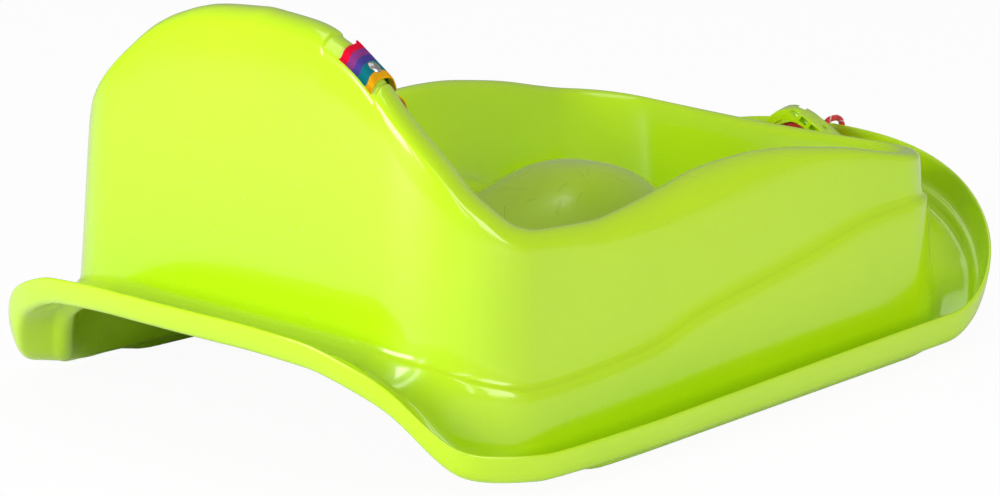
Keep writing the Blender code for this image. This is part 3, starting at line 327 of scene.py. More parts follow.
# %% Black plastic and steel
def black_finish():
    black = Finish("black_acetal", (0.018, 0.018, 0.02), 0.42, IOR=1.48)
    where = black.place()
    grain = black.noise(where, 900.0, 2.0)
    rubbed = black.noise(where, 60.0, 3.0).between(0.55, 0.75)
    black.set("Base Color", black.mix(rubbed * 0.5, (0.015, 0.015, 0.017), (0.035, 0.035, 0.038)))
    black.set("Roughness", 0.36 + grain * 0.14 - rubbed * 0.08)
    black.bump(grain, 0.00008)
    return black.material


def steel_finish():
    steel = Finish("plated_steel", (0.66, 0.64, 0.62), 0.28, Metallic=1.0)
    where = steel.place()
    dulled = steel.noise(where, 300.0, 4.0)
    dents = steel.noise(where, 700.0, 1.0).between(0.62, 0.75)
    steel.set("Base Color", steel.mix(dulled, (0.72, 0.70, 0.68), (0.50, 0.47, 0.44)))
    steel.set("Roughness", 0.18 + dulled * 0.22)
    steel.bump(dents * -1.0 + dulled * 0.2, 0.00012)
    return steel.material


black_acetal = black_finish()
plated_steel = steel_finish()
print("hardware finishes ready")

# %% [markdown]
# The floor is white and almost shadowless, as in the photograph. It shows the camera a little
# more light than it gets, so it meets the white backdrop without an edge and keeps the contact
# shadow. The lamps are three big soft boxes and two tall narrow ones, which draw the long upright
# streaks that the photograph has in the corners of the moulding.

# %% Floor and backdrop
def white_surface(name, own_light):
    white = bpy.data.materials.new(name)
    white.use_nodes = True
    tree = white.node_tree
    plain = tree.nodes["Principled BSDF"]
    plain.inputs["Base Color"].default_value = (0.9, 0.9, 0.9, 1)
    plain.inputs["Roughness"].default_value = 0.9
    plain.inputs["Specular IOR Level"].default_value = 0.1
    glow = tree.nodes.new("ShaderNodeEmission")
    rays = tree.nodes.new("ShaderNodeLightPath")
    share = tree.nodes.new("ShaderNodeMath")
    share.operation = "MULTIPLY"
    share.inputs[1].default_value = own_light
    both = tree.nodes.new("ShaderNodeMixShader")
    tree.links.new(rays.outputs["Is Camera Ray"], share.inputs[0])
    tree.links.new(share.outputs[0], both.inputs[0])
    tree.links.new(plain.outputs[0], both.inputs[1])
    tree.links.new(glow.outputs[0], both.inputs[2])
    tree.links.new(both.outputs[0], tree.nodes["Material Output"].inputs["Surface"])
    return white


def flat_panel(name, corners, look):
    data = bpy.data.meshes.new(name)
    data.from_pydata(corners, [], [(0, 1, 2, 3)])
    data.materials.append(look)
    panel = bpy.data.objects.new(name, data)
    bpy.context.collection.objects.link(panel)
    return panel


FLOOR_HALF = 14.0
FLOOR_OWN_LIGHT = 0.95
floor = flat_panel("floor", [(-FLOOR_HALF, -FLOOR_HALF, 0), (FLOOR_HALF, -FLOOR_HALF, 0),
                             (FLOOR_HALF, FLOOR_HALF, 0), (-FLOOR_HALF, FLOOR_HALF, 0)],
                   white_surface("white_floor", FLOOR_OWN_LIGHT))

world = bpy.data.worlds.new("studio")
bpy.context.scene.world = world
world.use_nodes = True
sky = world.node_tree
room = sky.nodes["Background"]
room.inputs["Color"].default_value = (1, 1, 1, 1)
ray = sky.nodes.new("ShaderNodeLightPath")
ROOM_LIGHT = 0.3
seen = sky.nodes.new("ShaderNodeMath")
seen.operation = "MAXIMUM"
sky.links.new(ray.outputs["Is Camera Ray"], seen.inputs[0])
seen.inputs[1].default_value = ROOM_LIGHT
sky.links.new(seen.outputs[0], room.inputs["Strength"])
print("floor and backdrop ready")

# %% Lamps
def soft_box(name, place, aim, width, height, watts):
    lamp = bpy.data.lights.new(name, "AREA")
    lamp.shape = "RECTANGLE"
    lamp.size = width
    lamp.size_y = height
    lamp.energy = watts
    box = bpy.data.objects.new(name, lamp)
    box.location = place
    box.rotation_euler = (Vector(aim) - Vector(place)).to_track_quat("-Z", "Y").to_euler()
    bpy.context.collection.objects.link(box)
    return box


soft_box("rear_box", (0.5, 3.2, 1.1), (0, 0.1, 0.12), 2.0, 1.4, 90)
soft_box("side_box", (-3.0, -0.3, 1.0), (0, 0, 0.1), 1.6, 1.2, 31)
soft_box("top_box", (0.3, -0.4, 3.2), (0, 0, 0.1), 2.0, 2.0, 20)
soft_box("tall_box_left", (-1.0, 3.0, 1.3), (0, -0.1, 0.1), 0.28, 2.0, 9)
soft_box("tall_box_right", (-2.7, 1.2, 1.3), (0, -0.1, 0.1), 0.28, 2.0, 9)

# %% [markdown]
# The sizes below are the sled's own. The outline of the lip is a squared-off ellipse at each end,
# and the body stands inside it. Heights along the rim and the crease are curves through a few knots.
# Everything that follows is in metres, with the bow towards -Y.

# %% Sizes of the moulding
LENGTH = 700 * mm
REAR_WIDTH = 475 * mm
FRONT_WIDTH = 435 * mm
WALL = 3 * mm
BOW_CURVE_LENGTH = 141 * mm
REAR_CURVE_LENGTH = 209 * mm
REAR_BULGE = 15 * mm
RUNNER_DEPTH = 6 * mm
RUNNER_WIDTH = 8 * mm
RUNNER_FRONT_Y = 135 * mm - LENGTH / 2
RUNNER_REAR_Y = LENGTH / 2 - 160 * mm
REAR_ARCH_HEIGHT = 80 * mm
FRONT_DECK_HEIGHT = 75 * mm
REAR_LIP_HEIGHT = 20 * mm
SIDE_LIP_HEIGHT = 24.5 * mm
BOW_RISE = 85 * mm
BOW_RISE_START = LENGTH / 2 - 133 * mm
BOW_RISE_POWER = 1.67
BAND_HEIGHT = 22 * mm
BODY_GAP = 41 * mm
REAR_LEDGE = 68 * mm
FRONT_DECK = 84 * mm
BODY_REAR_Y = LENGTH / 2 - REAR_LEDGE
BODY_FRONT_Y = FRONT_DECK - LENGTH / 2
BODY_REAR_RADIUS = 70 * mm
BODY_FRONT_RADIUS = 58 * mm
BACKREST_HEIGHT = 290 * mm
SIDE_RIM_HEIGHT = 153 * mm
HUMP_RIM_HEIGHT = 168 * mm
FRONT_RIM_HEIGHT = 132 * mm
WALL_DRAFT = 0.07
CREASE_STEP = 4 * mm
LOWER_FLARE = 5 * mm
RIM_INNER_RADIUS = 8 * mm
SEAT_HEIGHT = 105 * mm
FOOT_WELL_HEIGHT = 58 * mm
SEAT_EDGE_Y = BODY_REAR_Y - 327 * mm
FOOT_WELL_Y = BODY_FRONT_Y + 101 * mm
POMMEL_RISE = 32 * mm
POMMEL_Y = BODY_REAR_Y - 318 * mm
POMMEL_WIDTH = 104 * mm

# Driving sizes of the belt
WEBBING_WIDTH = 35 * mm
WEBBING_THICKNESS = 1.6 * mm
RECESS_DEPTH = 2.2 * mm
BUCKLE_HEIGHT = 11 * mm
BUCKLE_BAR = (3 * mm, 3.6 * mm)
SOCKET_LENGTH = 34 * mm
TONGUE_LENGTH = 15 * mm
SLIDE_FIT = 0.4 * mm

ROPE = 4.5 * mm
COIL_LENGTH = 72 * mm
COIL_WIDTH = 44 * mm
COIL_LAYERS = 4
COIL_TURNS_PER_LAYER = 2
COIL_GAP = 0.6 * mm
BOW_TIP = Vector((0, -LENGTH / 2, RUNNER_DEPTH + FRONT_DECK_HEIGHT + WALL))
COIL_PLACE = (16 * mm, BOW_TIP.y + 45 * mm)
HANDLE_BAR = 7.5 * mm
GAP = 0.3 * mm

# Shares that shape the moulding's long curves, each from 1 (full height) to 0
REAR_ARCH_SHAPE = [(0, 1), (0.227, 1), (0.482, 0.96), (0.737, 0.72), (0.994, 0.12), (1.25, 0)]
BOW_ARCH_SHAPE = [(0, 1), (0.276, 0.973), (0.46, 0.867), (0.644, 0.72), (0.78, 0.573),
                  (0.887, 0.453), (0.966, 0.267), (1.08, 0.093), (1.195, 0.027), (1.333, 0)]
BACKREST_SHAPE = [(0, 1), (0.39, 0.974), (0.63, 0.916), (0.79, 0.847), (1, 0.697), (1.21, 0.551),
                  (1.41, 0.398), (1.52, 0.288), (1.67, 0.186), (1.83, 0.091), (2, 0.047), (2.17, 0)]
HUMP_SHAPE = [(2.17, 0), (2.32, 0.33), (2.46, 0.82), (2.61, 1)]
FRONT_SHAPE = [(2.61, 1), (2.7, 0.946), (2.78, 0.82), (2.87, 0.65), (2.94, 0.47), (3, 0.3),
               (3.5, 0.12), (4, 0.03), (5, 0)]

# The crease round the body: its height above the ground along the outline
CREASE_REAR_HEIGHT = 86 * mm
CREASE_SIDE_HEIGHT = 58 * mm
CREASE_FRONT_HEIGHT = 105 * mm
CREASE_REAR_SHAPE = [(1, 1), (1.33, 0.79), (1.67, 0.36), (2, 0.04), (2.1, 0)]
CREASE_FRONT_SHAPE = [(2.1, 0), (2.3, 0.1), (2.41, 0.35), (2.63, 0.6), (2.78, 0.81), (2.89, 0.97), (3, 1)]

# How round and how wide the rim is along the outline
RIM_OUTER_RADIUS = 14 * mm
RIM_SIDE_RADIUS = 25 * mm
RIM_FRONT_RADIUS = 7 * mm
RIM_SIDE_SHAPE = [(2.08, 0), (2.25, 0.55), (2.35, 0.9), (2.45, 1), (2.6, 0.45), (2.75, 0)]
RIM_FRONT_SHAPE = [(2.6, 0), (2.9, 0.9), (3, 1)]
RIM_FLAT_REAR = 8 * mm
RIM_FLAT_FRONT = 3 * mm

# Distance from the body's outline at the crease in to the foot of the seat's walls
SEAT_REAR_INSET = 92 * mm
SEAT_SIDE_INSET = 56 * mm
SEAT_FRONT_INSET = 38 * mm
SEAT_CORNER_RADIUS = 48 * mm

# The recess for the belt's end on the right shoulder of the backrest, and the belt in it
BELT_CENTRE_X = REAR_WIDTH / 2 - 134.5 * mm
BELT_HALF_SPAN = 15 * mm
RECESS_START_X = BELT_CENTRE_X - 31 * mm
RECESS_END_X = BELT_CENTRE_X + BELT_HALF_SPAN + 1.8 * mm
RECESS_EDGE = 3.2 * mm

LIP_EDGE = 0.8 * mm

print("sizes of the moulding: %.0f mm long" % (LENGTH / mm))

# %% [markdown]
# Each station of the moulding is a line from the outer lip, over the gutter and its runner, up the
# lower skirt, over the crease, up the wall, round the rim and down into the seat. A loft of such
# lines gives the whole shell, and it could be pushed by hand from a box, but the lofted form keeps
# every dimension. The lines are placed along the normals of the body's outline.

# %% Curves of the moulding
def smooth_through(knots, x):
    """Monotone cubic curve through (x, value) knots, flat outside them."""
    xs = [k[0] for k in knots]
    ys = [k[1] for k in knots]
    if x <= xs[0]:
        return ys[0]
    if x >= xs[-1]:
        return ys[-1]
    slopes = [(ys[i + 1] - ys[i]) / (xs[i + 1] - xs[i]) for i in range(len(xs) - 1)]
    tangents = [slopes[0]]
    for left, right in zip(slopes, slopes[1:]):
        tangents.append(0.0 if left * right <= 0 else 2 * left * right / (left + right))
    tangents.append(slopes[-1])
    i = max(k for k in range(len(slopes)) if xs[k] <= x)
    width = xs[i + 1] - xs[i]
    u = (x - xs[i]) / width
    start = (1 + 2 * u) * (1 - u) ** 2 * ys[i] + u * (1 - u) ** 2 * width * tangents[i]
    end = u * u * (3 - 2 * u) * ys[i + 1] + u * u * (u - 1) * width * tangents[i + 1]
    return start + end


def ease(t):
    t = min(max(t, 0.0), 1.0)
    return t * t * (3 - 2 * t)


def side_slope():
    straight = LENGTH - REAR_CURVE_LENGTH - BOW_CURVE_LENGTH
    return (REAR_WIDTH - FRONT_WIDTH) / 2 / straight


def lip_side_x(y):
    """Half width of the lip on its straight, slightly tapered side."""
    return REAR_WIDTH / 2 + side_slope() * (y - (LENGTH / 2 - REAR_CURVE_LENGTH))


def lip_outline():
    """Half of the lip's outer edge seen from above: rear middle, side, bow tip."""
    points = []
    for k in range(81):
        a = math.pi / 2 * (1 - k / 80)
        x = REAR_WIDTH / 2 * (1 - math.sin(a) ** 2) ** (1 / 4.5)
        y = LENGTH / 2 - REAR_CURVE_LENGTH * (1 - abs(math.sin(a)) ** (2 / 4.5))
        points.append((x, y - REAR_BULGE * (x / (REAR_WIDTH / 2)) ** 2))
    for k in range(121):
        a = math.pi / 2 * k / 120
        x = FRONT_WIDTH / 2 * (1 - math.sin(a) ** 2) ** (1 / 2.5)
        y = -LENGTH / 2 + BOW_CURVE_LENGTH * (1 - abs(math.sin(a)) ** (2 / 2.5))
        points.append((x, y))
    return np.array(points)


LIP = lip_outline()
LIP_STEPS = np.hypot(*np.diff(LIP, axis=0).T)
LIP_DISTANCE = np.concatenate([[0.0], np.cumsum(LIP_STEPS)])


def lip_hit(point, normal):
    """Where the line out of the body along normal meets the lip, and how far round that is."""
    across = np.array([-normal[1], normal[0]])
    offsets = (LIP - point) @ across
    ahead = (LIP - point) @ normal
    for k in range(len(LIP) - 1):
        crosses = offsets[k] * offsets[k + 1] <= 0 and offsets[k] != offsets[k + 1]
        if crosses and ahead[k] > 0:
            u = offsets[k] / (offsets[k] - offsets[k + 1])
            return LIP[k] + u * (LIP[k + 1] - LIP[k]), LIP_DISTANCE[k] + u * LIP_STEPS[k]
    return LIP[-1], LIP_DISTANCE[-1]


def rounded_outline(p, rear_y, front_y, side_x, rear_radius, front_radius):
    """Point and outward normal at p: 0-1 rear, 1-2 rear corner, 2-3 side, 3-4 front corner, 4-5 front."""
    rear_centre = np.array([side_x(rear_y - rear_radius) - rear_radius, rear_y - rear_radius])
    front_centre = np.array([side_x(front_y + front_radius) - front_radius, front_y + front_radius])
    if p <= 1:
        return np.array([p * rear_centre[0], rear_y]), np.array([0.0, 1.0])
    if p <= 2:
        a = (p - 1) * math.pi / 2
        normal = np.array([math.sin(a), math.cos(a)])
        return rear_centre + rear_radius * normal, normal
    if p <= 3:
        y = rear_centre[1] + (p - 2) * (front_centre[1] - rear_centre[1])
        return np.array([side_x(y), y]), np.array([1.0, 0.0])
    if p <= 4:
        a = (p - 3) * math.pi / 2
        normal = np.array([math.cos(a), -math.sin(a)])
        return front_centre + front_radius * normal, normal
    return np.array([(5 - p) * front_centre[0], front_y]), np.array([0.0, -1.0])


def body_outline(p):
    return rounded_outline(p, BODY_REAR_Y, BODY_FRONT_Y, lambda y: lip_side_x(y) - BODY_GAP,
                           BODY_REAR_RADIUS, BODY_FRONT_RADIUS)


def seat_outline(p):
    return rounded_outline(p, BODY_REAR_Y - SEAT_REAR_INSET, BODY_FRONT_Y + SEAT_FRONT_INSET,
                           lambda y: lip_side_x(y) - BODY_GAP - SEAT_SIDE_INSET,
                           SEAT_CORNER_RADIUS, SEAT_CORNER_RADIUS)[0]


def rear_p(x):
    """The outline's p for a place x on the flat of the rear."""
    return x / (lip_side_x(BODY_REAR_Y - BODY_REAR_RADIUS) - BODY_GAP - BODY_REAR_RADIUS)


def rim_height(p):
    if p < 2.17:
        return SIDE_RIM_HEIGHT + (BACKREST_HEIGHT - SIDE_RIM_HEIGHT) * smooth_through(BACKREST_SHAPE, p)
    if p < 2.61:
        return SIDE_RIM_HEIGHT + (HUMP_RIM_HEIGHT - SIDE_RIM_HEIGHT) * smooth_through(HUMP_SHAPE, p)
    return FRONT_RIM_HEIGHT + (HUMP_RIM_HEIGHT - FRONT_RIM_HEIGHT) * smooth_through(FRONT_SHAPE, p)


def crease_height(p):
    rear = (CREASE_REAR_HEIGHT - CREASE_SIDE_HEIGHT) * smooth_through(CREASE_REAR_SHAPE, p)
    front = (CREASE_FRONT_HEIGHT - CREASE_SIDE_HEIGHT) * smooth_through(CREASE_FRONT_SHAPE, p)
    return CREASE_SIDE_HEIGHT + rear + front


def rim_radius(p):
    side = (RIM_SIDE_RADIUS - RIM_OUTER_RADIUS) * smooth_through(RIM_SIDE_SHAPE, p)
    front = (RIM_FRONT_RADIUS - RIM_OUTER_RADIUS) * smooth_through(RIM_FRONT_SHAPE, p)
    return RIM_OUTER_RADIUS + side + front


def seat_floor(x, y):
    """Height of the seat, the foot well in front of it and the pommel between the legs."""
    well = ease((SEAT_EDGE_Y - y) / (SEAT_EDGE_Y - FOOT_WELL_Y))
    base = SEAT_HEIGHT + (FOOT_WELL_HEIGHT - SEAT_HEIGHT) * well
    behind = ease(1 - (y - POMMEL_Y) / (118 * mm))
    before = ease(1 - (POMMEL_Y - y) / (185 * mm))
    crest = base + (SEAT_HEIGHT + POMMEL_RISE - base) * min(behind, before)
    across = math.exp(-(abs(x) / (POMMEL_WIDTH / 2)) ** 3)
    return base + (crest - base) * across


print("lip outline of", len(LIP), "points")

# %% Section of the moulding
def section(p):
    """The moulding's top line at p as (distance in from the lip, height), with its main marks."""
    body, normal = body_outline(p)
    lip, way = lip_hit(body, normal)
    seat = seat_outline(p)
    reach = float(np.hypot(*(body - lip)))
    foot = reach + float(np.hypot(*(seat - body)))
    y = lip[1]

    rear_share = smooth_through(REAR_ARCH_SHAPE, way / (REAR_WIDTH / 2))
    bow_share = smooth_through(BOW_ARCH_SHAPE, (LIP_DISTANCE[-1] - way) / (FRONT_WIDTH / 2))
    base = RUNNER_DEPTH + REAR_ARCH_HEIGHT * rear_share + FRONT_DECK_HEIGHT * bow_share
    forward = ease((LENGTH / 2 - y) / (LENGTH / 2 + BOW_RISE_START))
    lip_height = REAR_LIP_HEIGHT + (SIDE_LIP_HEIGHT - REAR_LIP_HEIGHT) * forward
    rise = max(0.0, (-BOW_RISE_START - y) / (LENGTH / 2 - BOW_RISE_START)) ** BOW_RISE_POWER
    top = RUNNER_DEPTH + REAR_ARCH_HEIGHT * rear_share + lip_height + BOW_RISE * rise
    floor = base + WALL
    shelf = max(floor, top - BAND_HEIGHT)
    wall_floor = floor - 10 * mm * rear_share

    crease = crease_height(p)
    rim = rim_height(p)
    outer = rim_radius(p)
    flat = RIM_FLAT_REAR + (RIM_FLAT_FRONT - RIM_FLAT_REAR) * ease(p - 1.5)
    inner = RIM_INNER_RADIUS
    wall_in = reach + WALL_DRAFT * (rim - outer - crease)
    fillet = min(7 * mm, 0.45 * (crease - wall_floor))
    wall_out = reach - CREASE_STEP - LOWER_FLARE

    runs = ease((y - RUNNER_FRONT_Y) / (14 * mm)) * ease((RUNNER_REAR_Y - y) / (14 * mm))
    groove = RUNNER_DEPTH * runs if 1.5 < p < 3.5 else 0.0
    floor_end = wall_out - 5 * mm
    spare = max(0.0, floor_end - 27 * mm)
    room = floor_end - 13.4 * mm
    middle = 13.4 * mm + 0.5 * room
    half = min(RUNNER_WIDTH / 2, 0.19 * room)
    slope = min(2 * mm, 0.12 * room)

    points = [
        (WALL, top - LIP_EDGE),
        (WALL + 3 * mm, shelf + 5 * mm),
        (WALL + 5 * mm, shelf + 1.3 * mm),
        (WALL + 6.8 * mm, shelf),
        (WALL + 9.4 * mm + 0.06 * spare, shelf),
        (WALL + 10.4 * mm + 0.06 * spare, floor),
        (middle - half - slope, floor),
        (middle - half, floor - groove),
        (middle + half, floor - groove),
        (middle + half + slope, floor),
        (floor_end, wall_floor),
        (floor_end + 3 * mm, wall_floor + 0.3 * fillet),
        (wall_out, wall_floor + fillet),
        (reach - CREASE_STEP - 0.6 * mm, crease - 3.5 * mm),
        (reach - CREASE_STEP + 0.6 * mm, crease - 0.8 * mm),
        (reach - 1 * mm, crease + 0.8 * mm),
        (reach, crease + 3.2 * mm),
        (wall_in, rim - outer),
    ]
    for degrees in (24, 34, 62, 90):
        a = math.radians(degrees)
        points.append((wall_in + outer * (1 - math.cos(a)), rim - outer + outer * math.sin(a)))
    edge = wall_in + outer + flat
    for degrees in (0, 50, 85):
        a = math.radians(degrees)
        points.append((edge + inner * math.sin(a), rim - inner + inner * math.cos(a)))
    ground = seat_floor(*seat)
    points.append((foot - 7 * mm, ground + 13 * mm))
    points.append((foot - 2 * mm, ground + 4 * mm))
    points.append((foot + 6 * mm, ground))
    return np.array(points), lip, body, seat, normal, reach


RECESS_ROWS = range(19, 25)
REAR_FLAT_X = 1 / rear_p(1.0)


def offset_section(points, amount):
    """The section's line moved square to itself; a positive amount lifts it off the top face."""
    steps = np.diff(points, axis=0)
    steps = steps / np.maximum(np.hypot(steps[:, 0], steps[:, 1]), 1e-9)[:, None]
    normals = np.stack([-steps[:, 1], steps[:, 0]], axis=1)
    before = np.vstack([normals[:1], normals])
    after = np.vstack([normals, normals[-1:]])
    mitre = (before + after) / (1 + np.sum(before * after, axis=1))[:, None]
    return points + amount * mitre


def place(points, lip, body, seat, normal, reach, side):
    """Section points in space; inside the crease they run towards the foot of the seat wall."""
    inward = seat - body
    inward = inward / np.hypot(*inward)
    placed = []
    for distance, z in points:
        if distance <= reach:
            xy = lip - normal * distance
        else:
            xy = body + inward * (distance - reach)
        placed.append((side * xy[0], xy[1], z))
    return placed


def recess_share(p, side):
    """How far into the belt's recess a station is: 0 outside it, 1 on its floor."""
    x = p * REAR_FLAT_X
    start = ease((x - RECESS_START_X + RECESS_EDGE) / RECESS_EDGE)
    end = ease((RECESS_END_X + RECESS_EDGE - x) / RECESS_EDGE)
    return start * end if side < 0 and p < 1 else 0.0


def shell_rows(p, side, lift=0.0):
    """One station of the shell's top face, lifted off it by lift, as points in space."""
    points, lip, body, seat, normal, reach = section(p)
    share = recess_share(p, side)
    if share:
        sunk = offset_section(points, -RECESS_DEPTH * share)
        points[RECESS_ROWS] = sunk[RECESS_ROWS]
    if lift:
        points = offset_section(points, lift)
    return place(points, lip, body, seat, normal, reach, side)


def station_list():
    """The p of each station on one half, crowded where the belt's recess begins and ends."""
    flats = [0, 22 * mm, 42 * mm, RECESS_START_X - RECESS_EDGE, RECESS_START_X,
             BELT_CENTRE_X - BELT_HALF_SPAN, BELT_CENTRE_X, BELT_CENTRE_X + BELT_HALF_SPAN,
             RECESS_END_X, RECESS_END_X + RECESS_EDGE]
    stations = [rear_p(x) for x in flats] + [1.0]
    stations += [1 + k / 6 for k in range(1, 7)]
    stations += [2 + k / 8 for k in range(1, 9)]
    stations += [3 + k / 5 for k in range(1, 6)]
    stations += [4 + k / 3 for k in range(1, 4)]
    return stations


print("points in a section:", len(section(0.5)[0]))

# %% [markdown]
# The loft is built as one closed skin, top face and underside 3 mm apart, joined at the lip's edge.
# The seat's floor closes in rings towards the middle line. One level of subdivision then rounds
# every corner as moulded plastic is, and the mould's grip strokes get a mask that the finish reads.

# %% Shell
FLOOR_SHARES = [k / 15 for k in range(1, 15)]
SPINE_REAR_Y = BODY_REAR_Y - SEAT_REAR_INSET - 70 * mm
SPINE_FRONT_Y = BODY_FRONT_Y + SEAT_FRONT_INSET + 78 * mm
SPINE_TAPER = 0.3


def floor_line(start):
    """The seat's floor from the foot of its wall in towards the middle line."""
    taper = SPINE_TAPER * abs(start[0])
    spine_y = min(max(start[1], SPINE_FRONT_Y + taper), SPINE_REAR_Y - taper)
    line = []
    for share in FLOOR_SHARES:
        x = start[0] * (1 - share)
        y = start[1] + (spine_y - start[1]) * share
        line.append((x, y, seat_floor(x, y)))
    return line


def fine_stations():
    coarse = station_list()
    fine = []
    for a, b in zip(coarse, coarse[1:]):
        fine += [a + (b - a) * k / 3 for k in range(3)]
    return fine + coarse[-1:]


def shell_columns():
    half = fine_stations()
    loop = [(p, 1) for p in half] + [(p, -1) for p in half[-2:0:-1]]
    tops, unders = [], []
    for p, side in loop:
        upper = shell_rows(p, side)
        lower = shell_rows(p, side, -WALL)
        points, lip, body, seat, normal, reach = section(p)
        edge_height = points[0][1] + LIP_EDGE
        edges = place([(WALL - LIP_EDGE, edge_height), (LIP_EDGE, edge_height)],
                      lip, body, seat, normal, reach, side)
        inner = floor_line(upper[-1])
        lower[-1] = (upper[-1][0], upper[-1][1], upper[-1][2] - WALL)
        tops.append([edges[0]] + upper + inner)
        unders.append([edges[1]] + lower + [(x, y, z - WALL) for x, y, z in inner])
    return tops, unders


def skin(tops, unders):
    """Closed mesh between the top face's columns and the underside's."""
    mesh = bmesh.new()
    grids = [[[mesh.verts.new(point) for point in row] for row in face] for face in (tops, unders)]
    count, depth = len(tops), len(tops[0])
    for grid in grids:
        for i in range(count):
            j = (i + 1) % count
            for k in range(depth - 1):
                mesh.faces.new((grid[i][k], grid[j][k], grid[j][k + 1], grid[i][k + 1]))
        last = depth - 1
        for i in range(count // 2):
            corners = [grid[i][last], grid[i + 1][last]]
            for vertex in (grid[(count - i - 1) % count][last], grid[(count - i) % count][last]):
                if vertex not in corners:
                    corners.append(vertex)
            mesh.faces.new(corners)
    for i in range(count):
        j = (i + 1) % count
        mesh.faces.new((grids[0][i][0], grids[0][j][0], grids[1][j][0], grids[1][i][0]))
    bmesh.ops.recalc_face_normals(mesh, faces=mesh.faces)
    return mesh


def show(name, mesh, look, smooth=True):
    """Link a finished mesh as an object at the origin."""
    data = bpy.data.meshes.new(name)
    mesh.to_mesh(data)
    mesh.free()
    data.materials.append(look)
    if smooth:
        data.shade_smooth()
    made = bpy.data.objects.new(name, data)
    bpy.context.collection.objects.link(made)
    return made


def settle(piece):
    """Apply a piece's modifiers for good."""
    data = bpy.data.meshes.new_from_object(piece.evaluated_get(bpy.context.evaluated_depsgraph_get()))
    piece.modifiers.clear()
    piece.data = data


shell = show("shell_moulding", skin(*shell_columns()), shell_lime)
rounding = shell.modifiers.new("rounding", "SUBSURF")
rounding.levels = rounding.render_levels = 1
settle(shell)
print("shell faces:", len(shell.data.polygons))

# %% [markdown]
# The rope goes through a small hole in the raised edge of the bow. A Boolean with a short rod cuts
# it after the rounding, so the hole stays crisp. The rod's corners are kept off the middle line.

# %% Hole for the rope, and where the grip strokes are
def local_frame(origin, along, up):
    """Matrix whose X runs along, whose Z is as near to up as it can be."""
    x = Vector(along).normalized()
    y = Vector(up).cross(x).normalized()
    z = x.cross(y)
    turn = Matrix((x, y, z)).transposed().to_4x4()
    return Matrix.Translation(Vector(origin)) @ turn


def rod(axis_frame, radius, low, high, sides):
    mesh = bmesh.new()
    ends = [[mesh.verts.new((radius * math.cos(2 * math.pi * (k + 0.3) / sides),
                             radius * math.sin(2 * math.pi * (k + 0.3) / sides), z))
             for k in range(sides)] for z in (low, high)]
    for k in range(sides):
        n = (k + 1) % sides
        mesh.faces.new((ends[0][k], ends[0][n], ends[1][n], ends[1][k]))
    mesh.faces.new(ends[0][::-1])
    mesh.faces.new(ends[1])
    bmesh.ops.recalc_face_normals(mesh, faces=mesh.faces)
    mesh.transform(axis_frame)
    return mesh


BOW_HOLE = Vector((0, -LENGTH / 2, 103.5 * mm))
ROPE_HOLE = 6 * mm
DRILL_REACH = 9 * mm
hole_line = local_frame(BOW_HOLE, (1, 0, 0.16), (0, 1, 0))
drill = show("drill", rod(hole_line, ROPE_HOLE / 2, -DRILL_REACH, DRILL_REACH, 24), shell_lime)
bore = shell.modifiers.new("bore", "BOOLEAN")
bore.solver = "EXACT"
bore.object = drill
settle(shell)
bpy.data.objects.remove(drill)
shell.data.shade_smooth()
shell.data.set_sharp_from_angle(angle=math.radians(50))

spots = np.array([v.co for v in shell.data.vertices], float) / mm
x, y, z = np.abs(spots[:, 0]), spots[:, 1], spots[:, 2]
on_seat = (x < 100) & (y > -95) & (y < 85) & (z > 103) & (z < 150)
on_rim = (y > -70) & (y < 30) & (x > 158) & (x < 182) & (z > 138)
on_bow = (y < -250) & (x > 170) & (z > 40) & (z < 75)
SEAT_STROKES, RIM_STROKES, BOW_STROKES = 1.0, 0.5, 0.6
stroke_share = on_seat * SEAT_STROKES + on_rim * RIM_STROKES + on_bow * BOW_STROKES
mask = shell.data.attributes.new("strokes", "FLOAT", "POINT")
mask.data.foreach_set("value", stroke_share.astype(np.float32))
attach(shell, "sled")
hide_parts("sled_shell")
print("shell triangles:", sum(len(f.vertices) - 2 for f in shell.data.polygons))

# %% [markdown]
# The rope runs from the bow's hole over the edge to a stopper knot, down to a neat coil behind the
# bow, and up into the handle. It is a limp cord, so its route is a smooth curve through listed
# points. A curve with a bevel would do for a plain cord, but the braid needs a UV map in
# real lengths, so the tube is swept in mesh code, with its rings kept from twisting.

# %% Rope routes
def curved(values, fine):
    """The values with fine smooth steps added from each one to the next."""
    ends = [2 * values[0] - values[1]] + values + [2 * values[-1] - values[-2]]
    out = []
    for a, b, c, d in zip(ends, ends[1:], ends[2:], ends[3:]):
        for k in range(fine):
            t = k / fine
            out.append(0.5 * (2 * b + (c - a) * t + (2 * a - 5 * b + 4 * c - d) * t * t
                              + (3 * b - a - 3 * c + d) * t ** 3))
    return out + [values[-1]]


def smooth_route(points, spacing):
    """Points along a smooth curve through the route's own points."""
    dense = curved([Vector(p) for p in points], 12)
    steps = [0.0]
    for a, b in zip(dense, dense[1:]):
        steps.append(steps[-1] + (b - a).length)
    count = max(2, round(steps[-1] / spacing))
    chosen = []
    k = 0
    for i in range(count + 1):
        target = steps[-1] * i / count
        while k < len(steps) - 2 and steps[k + 1] < target:
            k += 1
        share = (target - steps[k]) / max(steps[k + 1] - steps[k], 1e-9)
        chosen.append(dense[k].lerp(dense[k + 1], share))
    return chosen


def square_ended(route):
    """Smooth points for a tube whose first and last runs stay straight."""
    return [route[0]] + smooth_route(route[1:-1], 1.1 * ROPE) + [route[-1]]


